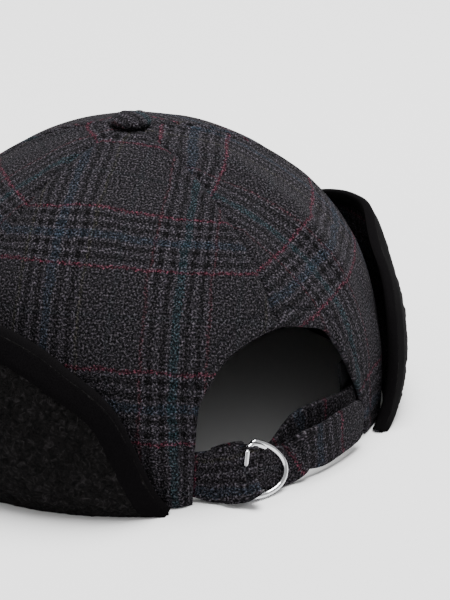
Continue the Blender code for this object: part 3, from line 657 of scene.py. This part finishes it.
def seam_relief(angle, height_share, start, end):
    """Rise of the cloth beside the seams, with the dips of the two rows of topstitching."""
    radius = CROWN_HALF_WIDTH * radius_share(height_share)
    away = min(abs(angle - start), abs(end - angle))
    distance = math.radians(away) * radius
    strength = smoothstep(0.003, 0.014, radius)
    puff = SEAM_PUFF * bump(distance, SEAM_PUFF_AT, SEAM_PUFF_WIDTH)
    stitch = STITCH_DIP * bump(distance, SEAM_STITCH_ROW, STITCH_DIP_WIDTH)
    groove = SEAM_GROOVE * bump(distance, 0.0, SEAM_GROOVE_WIDTH)
    return (puff - stitch) * strength - groove * (0.3 + 0.7 * strength)


def crown_relief(angle, height_share):
    """The cloth's own soft unevenness: broad swells and smaller ones."""
    place = crown_point(angle, height_share, 0.0, False)
    soft = noise.noise(place * 22.0) * 0.0011
    soft += noise.noise(place * 55.0 + Vector((3.0, 1.0, 7.0))) * 0.0005
    return soft * smoothstep(1.0, 0.93, height_share)


def hem_relief(distance):
    puff = HEM_PUFF * bump(distance, SEAM_PUFF_AT, HEM_PUFF_WIDTH)
    return puff - HEM_DIP * bump(distance, HEM_STITCH_ROW, STITCH_DIP_WIDTH)


def edge_round(distance):
    """How far a folded edge draws in from each face, at a distance from it."""
    half = 0.5 * CLOTH_WALL
    if distance >= half:
        return 0.0
    return (half - math.sqrt(max(0.0, half ** 2 - (half - distance) ** 2))) * 0.92


def crowd_ends(share, strength):
    """An even share moved toward the nearer end."""
    return share - strength * math.sin(2.0 * math.pi * share) / (2.0 * math.pi)


def make_panel(index):
    """One crown panel: rows from the hem to the top, close together at the hem, seams and arch."""
    panel = PANEL_NAMES[index]
    start = SEAMS[index]
    end = SEAMS[index + 1]
    top_share = (1.0 - (TOP_HOLE / CROWN_HALF_WIDTH) ** INTURN_POWER) ** (1.0 / RISE_POWER)
    top_turn = math.asin(top_share ** (0.5 * RISE_POWER))
    if panel in ("back_left", "back_right"):
        reach, steps = (ARCH_LEFT, 44) if panel == "back_left" else (ARCH_RIGHT, 36)
        reach /= end - start
        shares = [reach * math.sin(0.5 * math.pi * step / 34) for step in range(34)]
        shares += [reach + (1.0 - reach) * step / steps for step in range(steps + 1)]
        if panel == "back_right":
            shares = [1.0 - share for share in shares]
    else:
        shares = [crowd_ends(step / 60, 0.7) for step in range(61)]
    for seam_share in (0.006, 0.014, 0.03):
        shares += [seam_share, 1.0 - seam_share]
    shares = sorted(set(round(share, 5) for share in shares))
    near = [0.0, 0.0002, 0.0005, 0.0009, 0.0015, 0.0025, 0.0040, 0.0060]
    rows = 64
    outer = []
    inner = []
    cloth = []
    for row in range(len(near) + rows):
        for share in shares:
            angle = start + (end - start) * share
            low = max(base_height(angle), arch_height(angle))
            begin = low + near[-1]
            if row < len(near):
                height_share = (low + near[row]) / CROWN_HEIGHT
            else:
                low_turn = math.asin((begin / CROWN_HEIGHT) ** (0.5 * RISE_POWER))
                step = (row - len(near) + 1) / rows
                turn = low_turn + (top_turn - low_turn) * step ** 1.5
                height_share = math.sin(turn) ** (2.0 / RISE_POWER)
            height = height_share * CROWN_HEIGHT
            distance = min(height - base_height(angle), arch_distance(angle, height))
            rounding = edge_round(distance)
            relief = seam_relief(angle, height_share, start, end) + crown_relief(angle, height_share)
            if arch_height(angle) > 0.0 or distance < 0.01:
                relief += hem_relief(distance)
            relief *= smoothstep(-0.002, 0.003, distance)
            outer.append(crown_point(angle, height_share, rounding - relief))
            inner.append(crown_point(angle, height_share, CLOTH_WALL - rounding - 0.5 * relief))
            cloth.append(cloth_place(panel, angle, height_share))
    return wall_piece("crown_" + panel + "_cloth", "wool_check", "crown_panel_" + panel,
                      outer, inner, len(shares), cloth)


for panel_index in range(5):
    make_panel(panel_index)


# The button
def make_button():
    """The button: wool drawn over a dome, its edge tucked under."""
    radius = 0.5 * BUTTON_DIAMETER
    seat = CROWN_HEIGHT + SEAT_GAP
    profile = [(0.0, BUTTON_HEIGHT)]
    for step in range(1, 15):
        turn = 0.5 * math.pi * step / 14
        profile.append((radius * math.sin(turn), BUTTON_HEIGHT * (0.3 + 0.7 * math.cos(turn) ** 0.9)))
    profile += [(radius * 0.99, BUTTON_HEIGHT * 0.16), (radius * 0.93, BUTTON_HEIGHT * 0.05),
                (radius * 0.8, 0.0), (radius * 0.3, 0.0), (0.0, 0.0)]
    sides = 64
    points = [(0.0, -CROWN_LEAN, seat + profile[0][1])]
    cloth = [BUTTON_CUT]
    reach = 0.0
    for before, (out, height) in zip(profile, profile[1:-1]):
        reach += math.hypot(out - before[0], height - before[1])
        for side in range(sides):
            turn = 2.0 * math.pi * side / sides
            place = Vector((math.cos(turn), math.sin(turn), height * 300.0))
            wave = 1.0 + 0.02 * noise.noise(place * 3.0)
            out_here = out * wave
            points.append((out_here * math.cos(turn), out_here * math.sin(turn) - CROWN_LEAN, seat + height))
            cloth.append((BUTTON_CUT[0] + reach * math.cos(turn), BUTTON_CUT[1] + reach * math.sin(turn)))
    points.append((0.0, -CROWN_LEAN, seat))
    cloth.append(BUTTON_CUT)
    faces = []
    rings = len(profile) - 2
    for side in range(sides):
        after = (side + 1) % sides
        faces.append((0, 1 + side, 1 + after))
        for ring in range(rings - 1):
            here = 1 + ring * sides
            there = here + sides
            faces.append((here + side, there + side, there + after, here + after))
        last = 1 + (rings - 1) * sides
        faces.append((last + after, last + side, len(points) - 1))
    return mesh_piece("button_cloth", "wool_check", "button", points, faces, cloth, 70.0)


make_button()


# The ear flaps
FLAP_LINE = smooth_line(FLAP_EDGE, 10)


def flap_place(side, angle, height, offset):
    """A place beside the crown, offset outward from the turned-up flap's inner face."""
    low = base_height(angle)
    level = low + height
    curl = FLAP_STAND_OFF * (1.0 - math.exp(-max(0.0, height) / FLAP_CURL))
    tall = LEFT_FLAP_HEIGHT if side > 0.0 else RIGHT_FLAP_HEIGHT
    past_rear = smoothstep(FLAP_SPRING_START, FLAP_SPRING_END, angle)
    spring = FLAP_SPRING * past_rear * max(0.0, height / tall) ** 3
    wave = 1.0 + noise.noise(Vector((angle * 0.05, height * 22.0, side * 4.0)))
    wave *= 0.0007 * min(1.0, height / 0.02)
    stand = FACET_EASE + curl + spring + offset + wave
    share = radius_share(level / CROWN_HEIGHT)
    turn = math.radians(angle)
    reach = CROWN_BACK_REACH if math.cos(turn) > 0.0 else CROWN_FRONT_REACH
    lean = CROWN_LEAN * level / CROWN_HEIGHT
    half_width = CROWN_HALF_WIDTH * share + stand
    half_depth = reach * share + stand
    return Vector((side * half_width * math.sin(turn), half_depth * math.cos(turn) - lean, level))


def flap_edge_line(height):
    """The free edge as (arc, height) in metres with its inward direction."""
    turn = math.radians(FLAP_FRONT_ANGLE - FLAP_REAR_ANGLE) * CROWN_HALF_WIDTH
    raw = [Vector((row[0] * turn, row[1] * height)) for row in FLAP_LINE]
    line = [raw[0]]
    carried = 0.0
    for before, after in zip(raw, raw[1:]):
        length = (after - before).length
        while carried + EDGE_SPACING <= length:
            carried += EDGE_SPACING
            line.append(before.lerp(after, carried / length))
        carried -= length
    line.append(raw[-1])
    return line


def flap_angle(arc):
    return FLAP_REAR_ANGLE + math.degrees(arc / CROWN_HALF_WIDTH)


def make_flap(side_name, side, height):
    line = flap_edge_line(height)
    tree = kdtree.KDTree(len(line))
    for index, place in enumerate(line):
        tree.insert(Vector((place.x, place.y, 0.0)), index)
    tree.balance()
    by_arc = [(place.x, place.y) for place in line]
    total = line[-1].x
    columns = 190
    rows = 90
    shell_face, shell_back, fleece_back, fleece_face, cloth = [], [], [], [], []
    for row in range(rows + 1):
        for column in range(columns + 1):
            share = crowd_ends(column / columns, 0.6)
            arc = FLAP_END_EASE + (total - 2.0 * FLAP_END_EASE) * share
            tall = max(0.0, lookup(by_arc, arc))
            level = tall * (1.0 - (1.0 - row / rows) ** 1.15)
            away = tree.find(Vector((arc, level, 0.0)))[2]
            angle = flap_angle(arc)
            near_fold = math.exp(-level / 0.004) * smoothstep(0.0045, FLEECE_PUFF_REACH, away)
            start = FLAP_PLAY * (1.0 - near_fold)
            back = start + SHELL_WALL
            shell_face.append(flap_place(side, angle, level, start))
            shell_back.append(flap_place(side, angle, level, back))
            back += LAYER_GAP
            fleece_back.append(flap_place(side, angle, level, back))
            front = back + FLEECE_WALL + FLEECE_PUFF * smoothstep(0.0, FLEECE_PUFF_REACH, away)
            place = flap_place(side, angle, level, front)
            pile = noise.noise(place * 330.0) * 0.00045 + noise.noise(place * 800.0) * 0.00028
            pile += noise.noise(place * 90.0) * 0.0003
            free = smoothstep(0.0035, 0.0085, away)
            front += pile * (0.25 + 0.75 * free)
            fleece_face.append(flap_place(side, angle, level, front))
            cloth.append((side * (arc - 0.5 * total) + FLAP_CUT[0], level + FLAP_CUT[1]))
    node = "flap_shell_" + side_name
    shell = wall_piece(node + "_cloth", "wool_check", node, shell_back, shell_face, columns + 1, cloth)
    node = "flap_fleece_" + side_name
    fleece = wall_piece(node + "_pile", "fleece_pile", node, fleece_face, fleece_back, columns + 1,
                        smooth_angle=80.0)
    # the binding: tape folded over the edge, wider on the fleece side
    sections = []
    for index in range(1, len(line) - 1):
        run = (line[index + 1] - line[index - 1]).normalized()
        inward = Vector((run.y, -run.x))
        if inward.y > 0.0:
            inward = -inward
        here = line[index]
        reach = min(1.0, (here.y + EDGE_SPACING) / BINDING_REACH)
        section = []
        for deep, offset in BINDING_SECTION:
            place = here + inward * (deep * (reach if deep > 0.0 else 1.0))
            angle = flap_angle(place.x)
            section.append(flap_place(side, angle, max(-base_height(angle), place.y), offset))
        sections.append(section)
    node = "flap_binding_" + side_name
    sweep_piece(node + "_tape", "binding_tape", node, sections)


make_flap("left", 1.0, LEFT_FLAP_HEIGHT)
make_flap("right", -1.0, RIGHT_FLAP_HEIGHT)


# The sweatband
def make_sweatband():
    columns = 240
    rows = 22
    outer = []
    inner = []
    for row in range(rows + 1):
        for column in range(columns + 1):
            angle = BAND_LEFT_END + (BAND_RIGHT_END - BAND_LEFT_END) * column / columns
            level = base_height(angle) + SEAT_GAP + BAND_LIFT + BAND_HEIGHT * row / rows
            zone = 1.0 - smoothstep(44.0, 56.0, abs(signed_angle(angle)))
            depth = CLOTH_WALL + CLOTH_EASE + (STRAP_WALL + CLOTH_EASE) * zone
            wave = 0.0004 * noise.noise(Vector((angle * 0.12, row * 0.3, 9.0)))
            roll = BAND_ROLL * (bump(row / rows, 0.0, 0.06) + bump(row / rows, 1.0, 0.06))
            share = level / CROWN_HEIGHT
            outer.append(crown_point(angle, share, depth + 0.1 * roll, False))
            inner.append(crown_point(angle, share, depth + BAND_WALL + wave - roll, False))
    return wall_piece("sweatband_cloth", "sweatband_twill", "sweatband", outer, inner, columns + 1)


make_sweatband()


# The peak
def peak_place(across, forward):
    root_angle = 180.0 - PEAK_HALF_ANGLE * across
    low = base_height(root_angle)
    top = low + PEAK_WALL + SEAT_GAP
    root = crown_point(root_angle, top / CROWN_HEIGHT, -FACET_EASE, False)
    root.z = low + 0.5 * PEAK_WALL + SEAT_GAP
    length = PEAK_CORNER_LENGTH + (PEAK_LENGTH - PEAK_CORNER_LENGTH) * (1.0 - abs(across) ** 3.6)
    tip_z = 0.5 * PEAK_WALL + 2.0 * SEAT_GAP + (FRONT_LIFT - PEAK_DROOP) * (1.0 - abs(across) ** 1.9)
    drop = 0.65 * forward + 0.35 * (1.0 - math.cos(0.5 * math.pi * forward))
    x = root.x + PEAK_FLARE * across * forward
    y = root.y - length * forward
    return Vector((x, y, root.z + (tip_z - root.z) * drop))


def make_peak():
    columns = 120
    rows = 60
    top = []
    bottom = []
    cloth = []
    half = 0.5 * PEAK_WALL
    for row in range(rows + 1):
        forward = (row / rows) ** 0.9
        forward = 1.0 - (1.0 - forward) ** 1.3
        for column in range(columns + 1):
            across = -math.cos(math.pi * column / columns)
            place = peak_place(across * 0.985, forward)
            edge = min((1.0 - forward) * PEAK_LENGTH, (1.0 - abs(across)) * PEAK_SIDE_REACH)
            thick = half * math.sqrt(max(0.0, 1.0 - max(0.0, 1.0 - edge / PEAK_EDGE_ROUND) ** 2))
            thick = max(0.15 * half, thick)
            dip = PEAK_ROW_DIP * max(bump(edge, PEAK_FIRST_ROW + PEAK_ROW_PITCH * line, PEAK_ROW_WIDTH)
                                     for line in range(PEAK_ROWS))
            top.append(place + Vector((0.0, 0.0, thick - dip)))
            bottom.append(place - Vector((0.0, 0.0, thick - dip)))
            cloth.append((place.x, place.y + 0.1))
    return wall_piece("peak_cloth", "wool_check", "peak", top, bottom, columns + 1, cloth)


make_peak()


# The rings
def buckle_axes(roll=BUCKLE_ROLL, slant=BUCKLE_SLANT):
    """Directions at the buckle: along the strap to the wearer's right, out of the cap, up its bars."""
    roll = math.radians(roll)
    slant = math.radians(slant)
    up = Vector((-math.sin(roll), -math.sin(slant), math.cos(roll) * math.cos(slant))).normalized()
    out = Vector((0.0, 1.0, 0.0))
    out = (out - up * out.dot(up)).normalized()
    along = up.cross(out).normalized()
    if along.x > 0.0:
        along = -along
    return along, out, up


def buckle_point(along, out, up):
    axis_along, axis_out, axis_up = buckle_axes()
    return Vector((BUCKLE_X, BUCKLE_Y, BUCKLE_Z)) + axis_along * along + axis_out * out + axis_up * up


def make_ring(name):
    """A D of round wire: a straight bar, two tight corners and a half-ellipse arc."""
    middle_place, roll, slant, swing = RING_POSES[name]
    axis_along, axis_out, axis_up = buckle_axes(roll, slant)
    half = 0.5 * (RING_HEIGHT - WIRE_DIAMETER)
    depth = RING_DEPTH - WIRE_DIAMETER
    upper = [(0.0, half * step / 10.0) for step in range(9)]
    for step in range(1, 9):
        turn = math.radians(180.0 - 90.0 * step / 8.0)
        upper.append((RING_CORNER * (1.0 + math.cos(turn)),
                      half - RING_CORNER * (1.0 - math.sin(turn))))
    for step in range(1, 31):
        turn = math.radians(84.0 * (1.0 - step / 30.0))
        upper.append((depth * math.cos(turn), half * math.sin(turn)))
    outline = upper + [(x, -y) for x, y in reversed(upper[1:-1])]
    spread = math.radians(swing)
    middle = []
    for x, y in outline:
        depthwise = axis_along * math.cos(spread) + axis_out * math.sin(spread)
        middle.append(Vector(middle_place) + depthwise * x + axis_up * y)
    count = len(middle)
    flat = (middle[count // 4] - middle[0]).cross(middle[count // 2] - middle[0]).normalized()
    sections = []
    for index in range(count):
        run = (middle[(index + 1) % count] - middle[index - 1]).normalized()
        side_way = run.cross(flat).normalized()
        section = []
        for step in range(20):
            turn = 2.0 * math.pi * step / 20
            spoke = side_way * math.cos(turn) + flat * math.sin(turn)
            section.append(middle[index] + spoke * 0.5 * WIRE_DIAMETER)
        sections.append(section)
    return sweep_piece(name + "_wire", "plated_wire", name, sections, None, True)


make_ring("d_ring_outer")
make_ring("d_ring_inner")


# The straps
def strap_station(angle, inset, low, width, wall):
    bottom = crown_point(angle, low / CROWN_HEIGHT, inset, False)
    top = crown_point(angle, (low + STRAP_WIDTH) / CROWN_HEIGHT, inset, False)
    return (0.5 * (bottom + top), (top - bottom).normalized(), width, wall)


def strap_piece(name, stations, cut):
    """A band through its stations, its long edges rounded and its two edge seams pressed in."""
    rows = [(*middle, *up, width, wall) for middle, up, width, wall in stations]
    rows = smooth_line(rows, 8)
    across = [-1.0, -0.985, -0.94, -0.86, -0.8, -0.76, -0.72, -0.55, -0.3, 0.0]
    across += [-value for value in reversed(across[:-1])]
    sections = []
    cloth = []
    length = 0.0
    for index, row in enumerate(rows):
        middle = Vector(row[0:3])
        run = Vector(rows[min(len(rows) - 1, index + 1)][0:3]) - Vector(rows[max(0, index - 1)][0:3])
        run.normalize()
        up = Vector(row[3:6])
        up = (up - run * up.dot(run)).normalized()
        face = run.cross(up).normalized()
        half = 0.5 * row[6]
        thin = 0.5 * row[7]
        upper = []
        for share in across:
            rim = (1.0 - abs(share)) * half
            round_off = math.sqrt(max(0.0, 1.0 - max(0.0, 1.0 - rim / thin) ** 2))
            press = STRAP_SEAM_PRESS * bump(rim, STRAP_SEAM_AT, STRAP_SEAM_WIDTH)
            fill = thin * max(0.12, round_off) * (1.0 - press) * (1.0 - 0.06 * abs(share))
            upper.append((share * half, fill))
        if index:
            length += (middle - Vector(rows[index - 1][0:3])).length
        section = []
        for level, offset in upper + [(level, -fill) for level, fill in reversed(upper)]:
            section.append(middle + up * level + face * offset)
            cloth.append((math.copysign(level, level * offset) + cut[0], length - cut[1]))
        sections.append(section)
    return sweep_piece(name + "_cloth", "wool_check", name, sections, cloth)


def loop_end():
    return 0.5 * WIRE_DIAMETER + SEAT_GAP + LOOP_WALL + LOOP_EASE


LOOP_HEIGHT = RING_HEIGHT - 2.0 * WIRE_DIAMETER - 2.0 * SEAT_GAP

# Where each strap is cut from the checked cloth: across the yarns, and along them at its first end
SHORT_STRAP_CUT = (0.0550, 0.0033)
LONG_STRAP_CUT = (0.0245, 0.1125)

# How the short strap bellies out before the rings: middle x, y, z, lean in degrees, width, plies apart
SHORT_STRAP_BELLY = (
    (0.0342, 0.0822, 0.0102, 8.0, 0.0196, 0.0021),
    (0.0314, 0.0847, 0.0108, 16.0, 0.0208, 0.0028),
    (0.0287, 0.0873, 0.0112, 22.0, 0.0210, 0.0040),
    (0.0261, 0.0897, 0.0116, 24.0, 0.0203, 0.0056),
)
INWARD = Vector((-0.62, -0.78, 0.0))

# Its sewn end: height of the low edge, width, and how much narrower the inner ply is further on
SHORT_STRAP_LOW = 0.0006
SHORT_STRAP_END_WIDTH = 0.0168
INNER_PLY_EASE = 0.0010

# Where it meets the bars: place along, lean and width. Then how it turns round them: degrees, lean
BAR_ALONG = -0.0008
BAR_LEAN = 19.0
BAR_WIDTH = 0.0182
BAR_TURN = ((60.0, 13.0), (30.0, 7.0), (0.0, 2.0), (-30.0, 0.0), (-60.0, 0.0))
BAR_TURN_LIFT = 0.0006
BAR_TURN_EASE = 0.0012


def leaning(up, degrees):
    """An upward direction whose head leans in toward the cap."""
    turn = math.radians(degrees)
    return (up * math.cos(turn) + INWARD * math.sin(turn)).normalized()


def buckle_station(along, out, up, width, wall, lean=0.0):
    return (buckle_point(along, out, up), leaning(buckle_axes()[2], lean), width, wall)


def make_short_strap():
    """Two plies from the crown to the rings, one strip of cloth that turns round their bars."""
    room = WIRE_DIAMETER + 2.0 * SEAT_GAP + 0.5 * LOOP_WALL
    end = loop_end() - 0.5 * LOOP_WALL
    thin = min(LOOP_WALL, 0.5 * (STRAP_WALL - SEAT_GAP))
    hidden = math.degrees(STRAP_HIDDEN_LENGTH / CROWN_HALF_WIDTH)
    outer = []
    inner = []
    for share in (1.0, 0.5, 0.0):
        angle = ARCH_LEFT + share * hidden
        for ply, depth in ((outer, 0.5 * thin), (inner, 1.5 * thin + SEAT_GAP)):
            depth += CLOTH_WALL + CLOTH_EASE
            ply.append(strap_station(angle, depth, SHORT_STRAP_LOW, SHORT_STRAP_END_WIDTH, thin))
    for x, y, z, lean, width, apart in SHORT_STRAP_BELLY:
        place = Vector((x, y, z))
        up = leaning(Vector((0.0, 0.0, 1.0)), lean)
        outer.append((place, up, width, LOOP_WALL))
        inner.append((place + INWARD * apart, up, width - INNER_PLY_EASE, LOOP_WALL))
    outer.append(buckle_station(BAR_ALONG, room, 0.0, BAR_WIDTH, LOOP_WALL, BAR_LEAN))
    inner.append(buckle_station(BAR_ALONG, -room, 0.0, LOOP_HEIGHT, LOOP_WALL))
    for degrees, lean in BAR_TURN:
        turn = math.radians(degrees)
        outer.append(buckle_station(end * math.cos(turn), room * math.sin(turn), BAR_TURN_LIFT,
                                    LOOP_HEIGHT - BAR_TURN_EASE, LOOP_WALL, lean))
    return strap_piece("strap_short", outer + inner[::-1], SHORT_STRAP_CUT)


# How far the inner ring's arc lies in from the buckle's middle
RING_ARC_DEPTH = 0.0021

# Inside the rings the long strap is squeezed by this
LONG_STRAP_SQUEEZE = 0.0018

# The main run of the long strap: angle, depth under the crown's face, height of its low edge
MAIN_STRAP_ROUTE = (
    (-20.0, 0.0044, 0.0030),
    (-12.0, 0.0066, 0.0035),
    (-5.0, 0.0074, 0.0027),
)

# Its tail: angle, depth under the crown's face, height of its unsqueezed low edge, share of the width
TAIL_ROUTE = (
    (-2.5, -0.0008, 0.0012, 0.80),
    (-8.0, -0.0014, 0.0010, 0.88),
    (-13.5, -0.0016, 0.0018, 0.89),
    (-18.0, -0.0017, 0.0019, 0.87),
    (-20.8, -0.0017, 0.0018, 0.84),
    (-22.3, -0.0017, 0.0017, 0.76),
    (-23.1, -0.0016, 0.0017, 0.60),
    (-23.5, -0.0015, 0.0017, 0.40),
)


def make_long_strap():
    """One strap: through both rings, round the inner one's arc, and back out between the two."""
    hidden = math.degrees(STRAP_HIDDEN_LENGTH / CROWN_HALF_WIDTH)
    inset = CLOTH_WALL + CLOTH_EASE + 0.5 * STRAP_WALL
    main_out = -(RING_ARC_DEPTH + 0.5 * WIRE_DIAMETER + SEAT_GAP + 0.5 * STRAP_WALL)
    narrow = LOOP_HEIGHT - LONG_STRAP_SQUEEZE
    past_bend = 0.0002
    stations = []
    for share in (0.0, 0.5, 1.0):
        angle = -ARCH_RIGHT - hidden * (1.0 - share) + 3.0 * share
        stations.append(strap_station(angle, inset, MAIN_STRAP_ROUTE[0][2], STRAP_WIDTH, STRAP_WALL))
    for angle, depth, low in MAIN_STRAP_ROUTE:
        stations.append(strap_station(angle, depth, low, STRAP_WIDTH, STRAP_WALL))
    radius = -0.5 * main_out
    fold_at = loop_end() + SEAT_GAP + 0.5 * STRAP_WALL + radius
    half_way = 0.5 * (RING_DEPTH + fold_at)
    stations.append(buckle_station(RING_DEPTH, main_out, 0.0018, narrow + 0.0001, STRAP_WALL))
    stations.append(buckle_station(half_way, main_out, 0.0003, narrow, STRAP_WALL))
    for turn in (270.0, 240.0, 210.0, 180.0, 150.0, 120.0, 90.0):
        along = fold_at + radius * math.cos(math.radians(turn))
        out = 0.5 * main_out + radius * math.sin(math.radians(turn))
        stations.append(buckle_station(along, out, 0.0, narrow, STRAP_WALL))
    stations.append(buckle_station(half_way, past_bend, 0.0, narrow, STRAP_WALL))
    stations.append(buckle_station(RING_DEPTH + 0.0010, past_bend, 0.0008, narrow - 0.0004, STRAP_WALL))
    for angle, depth, low, width in TAIL_ROUTE:
        stations.append(strap_station(angle, depth, low, STRAP_WIDTH * width, STRAP_WALL))
    return strap_piece("strap_long", stations, LONG_STRAP_CUT)


make_short_strap()
make_long_strap()


# Stitches
def stitch_tree():
    """Geometry Nodes: one small thread on each point, laid along its run and facing out."""
    tree = bpy.data.node_groups.new("stitches", "GeometryNodeTree")
    sockets = (("Geometry", "Geometry"), ("Stitch Length", "Float"), ("Thread Width", "Float"),
               ("Thread Height", "Float"), ("Thread", "Material"))
    for name, kind in sockets:
        tree.interface.new_socket(name, in_out="INPUT", socket_type="NodeSocket" + kind)
    tree.interface.new_socket("Geometry", in_out="OUTPUT", socket_type="NodeSocketGeometry")
    given = put(tree, "NodeGroupInput")
    thread = put(tree, "GeometryNodeMeshUVSphere", {"Segments": 8, "Rings": 5, "Radius": 0.5})
    size = put(tree, "ShaderNodeCombineXYZ", {0: given.outputs["Stitch Length"],
                                              1: given.outputs["Thread Width"],
                                              2: given.outputs["Thread Height"]})
    shaped = put(tree, "GeometryNodeTransform", {"Geometry": thread.outputs["Mesh"], "Scale": size})
    smooth = put(tree, "GeometryNodeSetShadeSmooth", {"Geometry": shaped})
    run = put(tree, "GeometryNodeInputNamedAttribute", {"Name": "run"}, data_type="FLOAT_VECTOR")
    out = put(tree, "GeometryNodeInputNamedAttribute", {"Name": "out"}, data_type="FLOAT_VECTOR")
    first = put(tree, "FunctionNodeAlignRotationToVector", {"Vector": run.outputs["Attribute"]}, axis="X")
    second = put(tree, "FunctionNodeAlignRotationToVector",
                 {"Rotation": first, "Vector": out.outputs["Attribute"]}, axis="Z", pivot_axis="X")
    placed = put(tree, "GeometryNodeInstanceOnPoints", {
        "Points": given.outputs["Geometry"], "Instance": smooth, "Rotation": second})
    real = put(tree, "GeometryNodeRealizeInstances", {"Geometry": placed})
    dressed = put(tree, "GeometryNodeSetMaterial",
                  {"Geometry": real, "Material": given.outputs["Thread"]})
    done = put(tree, "NodeGroupOutput")
    tree.links.new(dressed.outputs[0], done.inputs[0])
    return tree


STITCH_TREE = stitch_tree()


def sew(name, lines):
    """Stitches along lines of (place, outward direction) pairs."""
    places = []
    runs = []
    outs = []
    for line in lines:
        carried = 0.5 * STITCH_PITCH
        for (start, start_out), (end, end_out) in zip(line, line[1:]):
            step = end - start
            span = step.length
            while span > 0.0 and carried < span:
                share = carried / span
                places.append(start.lerp(end, share))
                runs.append(step.normalized())
                outs.append(start_out.lerp(end_out, share).normalized())
                carried += STITCH_PITCH
            carried -= span
    mesh = bpy.data.meshes.new(name)
    mesh.from_pydata(places, [], [])
    for key, values in (("run", runs), ("out", outs)):
        layer = mesh.attributes.new(key, "FLOAT_VECTOR", "POINT")
        layer.data.foreach_set("vector", [number for value in values for number in value])
    carrier = add_object(name + "_points", mesh)
    modifier = carrier.modifiers.new("stitches", "NODES")
    modifier.node_group = STITCH_TREE
    wanted = {"Stitch Length": STITCH_LENGTH, "Thread Width": THREAD_WIDTH,
              "Thread Height": THREAD_HEIGHT, "Thread": MATERIALS["sewing_thread"]}
    for socket in STITCH_TREE.interface.items_tree:
        if socket.in_out == "INPUT" and socket.name in wanted:
            modifier[socket.identifier] = wanted[socket.name]
    shown = carrier.evaluated_get(bpy.context.evaluated_depsgraph_get())
    result = bpy.data.meshes.new_from_object(shown)
    item = add_object(name, result)
    bpy.data.objects.remove(carrier, do_unlink=True)
    return finish_piece(item)


def thread_place(angle, share, sink=0.0):
    """Where a thread lies on the crown's cloth, and the way out of the cloth there."""
    place = crown_point(angle, share, sink - crown_relief(angle, share))
    out = crown_point(angle, share, -0.001, False) - crown_point(angle, share, 0.0, False)
    return place, out.normalized()


def sew_crown():
    """A row of stitches on both sides of each seam, and one round the arch."""
    steps = 90
    top = 0.985
    lines = []
    for seam in SEAMS[:-1]:
        low = max(base_height(seam) + 0.002, arch_height(seam) + 0.0015) / CROWN_HEIGHT
        for side in (-1.0, 1.0):
            line = []
            for step in range(steps + 1):
                share = low + (top - low) * step / steps
                radius = max(0.006, CROWN_HALF_WIDTH * radius_share(share))
                line.append(thread_place(seam + side * math.degrees(SEAM_STITCH_ROW / radius), share))
            lines.append(line)
    hem = []
    flat = [foot_place(angle, height) for angle, height in ARCH_LINE]
    for before, place, after in zip(flat, flat[1:], flat[2:]):
        run = after - before
        if run.length == 0.0:
            continue
        away = Vector((-run.y, run.x, 0.0)).normalized()
        if away.y < 0.0 or (abs(away.y) < 0.2 and away.x * place.x < 0.0):
            away = -away
        place = place + away * HEM_STITCH_ROW
        if place.y > 0.001:
            hem.append(thread_place(math.degrees(place.x / FOOT_RADIUS), place.y / CROWN_HEIGHT, 0.0001))
    lines.append(hem)
    return sew("crown_stitches", lines)


sew_crown()


# The room
ROOM_REACH = 3.0
WORLD_STRENGTH = 0.62

# The one softbox, up and to the wearer's right: place, aim, side in metres, power in watts
LIGHT_PLACE = Vector((-0.38, 0.0, 1.74))
LIGHT_AIM = Vector((0.0, 0.0, 0.05))
LIGHT_SIDE = 1.2
LIGHT_POWER = 88.0

# The camera, found by fitting the cap to the photograph: place from the crown's middle, directions
CAMERA_PLACE = Vector((0.53662, 0.68402, 0.42548))
CAMERA_RIGHT = Vector((-0.76783, 0.64052, 0.01279))
CAMERA_UP = Vector((-0.24941, -0.31726, 0.91495))
CAMERA_AHEAD = Vector((-0.59011, -0.69934, -0.40336))
CAMERA_LENS = 147.3
CAMERA_SENSOR = 36.0


def make_room():
    """A pale paper floor under an even white sky."""
    r = ROOM_REACH
    mesh = bpy.data.meshes.new("floor")
    mesh.from_pydata([(-r, -r, 0.0), (r, -r, 0.0), (r, r, 0.0), (-r, r, 0.0)], [], [(0, 1, 2, 3)])
    shader = new_material("floor_paper", 0.9, Specular_IOR_Level=0.1)[2]
    shader.inputs["Base Color"].default_value = colour("#f4f4f4")
    mesh.materials.append(bpy.data.materials["floor_paper"])
    add_object("floor", mesh)
    world = bpy.data.worlds.new("studio")
    world.use_nodes = True
    back = world.node_tree.nodes["Background"]
    back.inputs["Color"].default_value = (1.0, 1.0, 1.0, 1.0)
    back.inputs["Strength"].default_value = WORLD_STRENGTH
    bpy.context.scene.world = world


def add_light():
    data = bpy.data.lights.new("top_light", "AREA")
    data.shape = "SQUARE"
    data.size = LIGHT_SIDE
    data.energy = LIGHT_POWER
    item = add_object("top_light", data)
    item.location = LIGHT_PLACE
    item.rotation_euler = (LIGHT_AIM - LIGHT_PLACE).to_track_quat("-Z", "Y").to_euler()


def make_camera():
    data = bpy.data.cameras.new("camera")
    data.sensor_width = CAMERA_SENSOR
    data.lens = CAMERA_LENS
    item = add_object("camera", data)
    turn = Matrix((CAMERA_RIGHT, CAMERA_UP, -CAMERA_AHEAD)).transposed().to_4x4()
    place = CAMERA_PLACE + Vector((0.0, OUTLINE_SHIFT, 0.0))
    item.matrix_world = Matrix.Translation(place) @ turn
    bpy.context.scene.camera = item


make_room()
add_light()
make_camera()
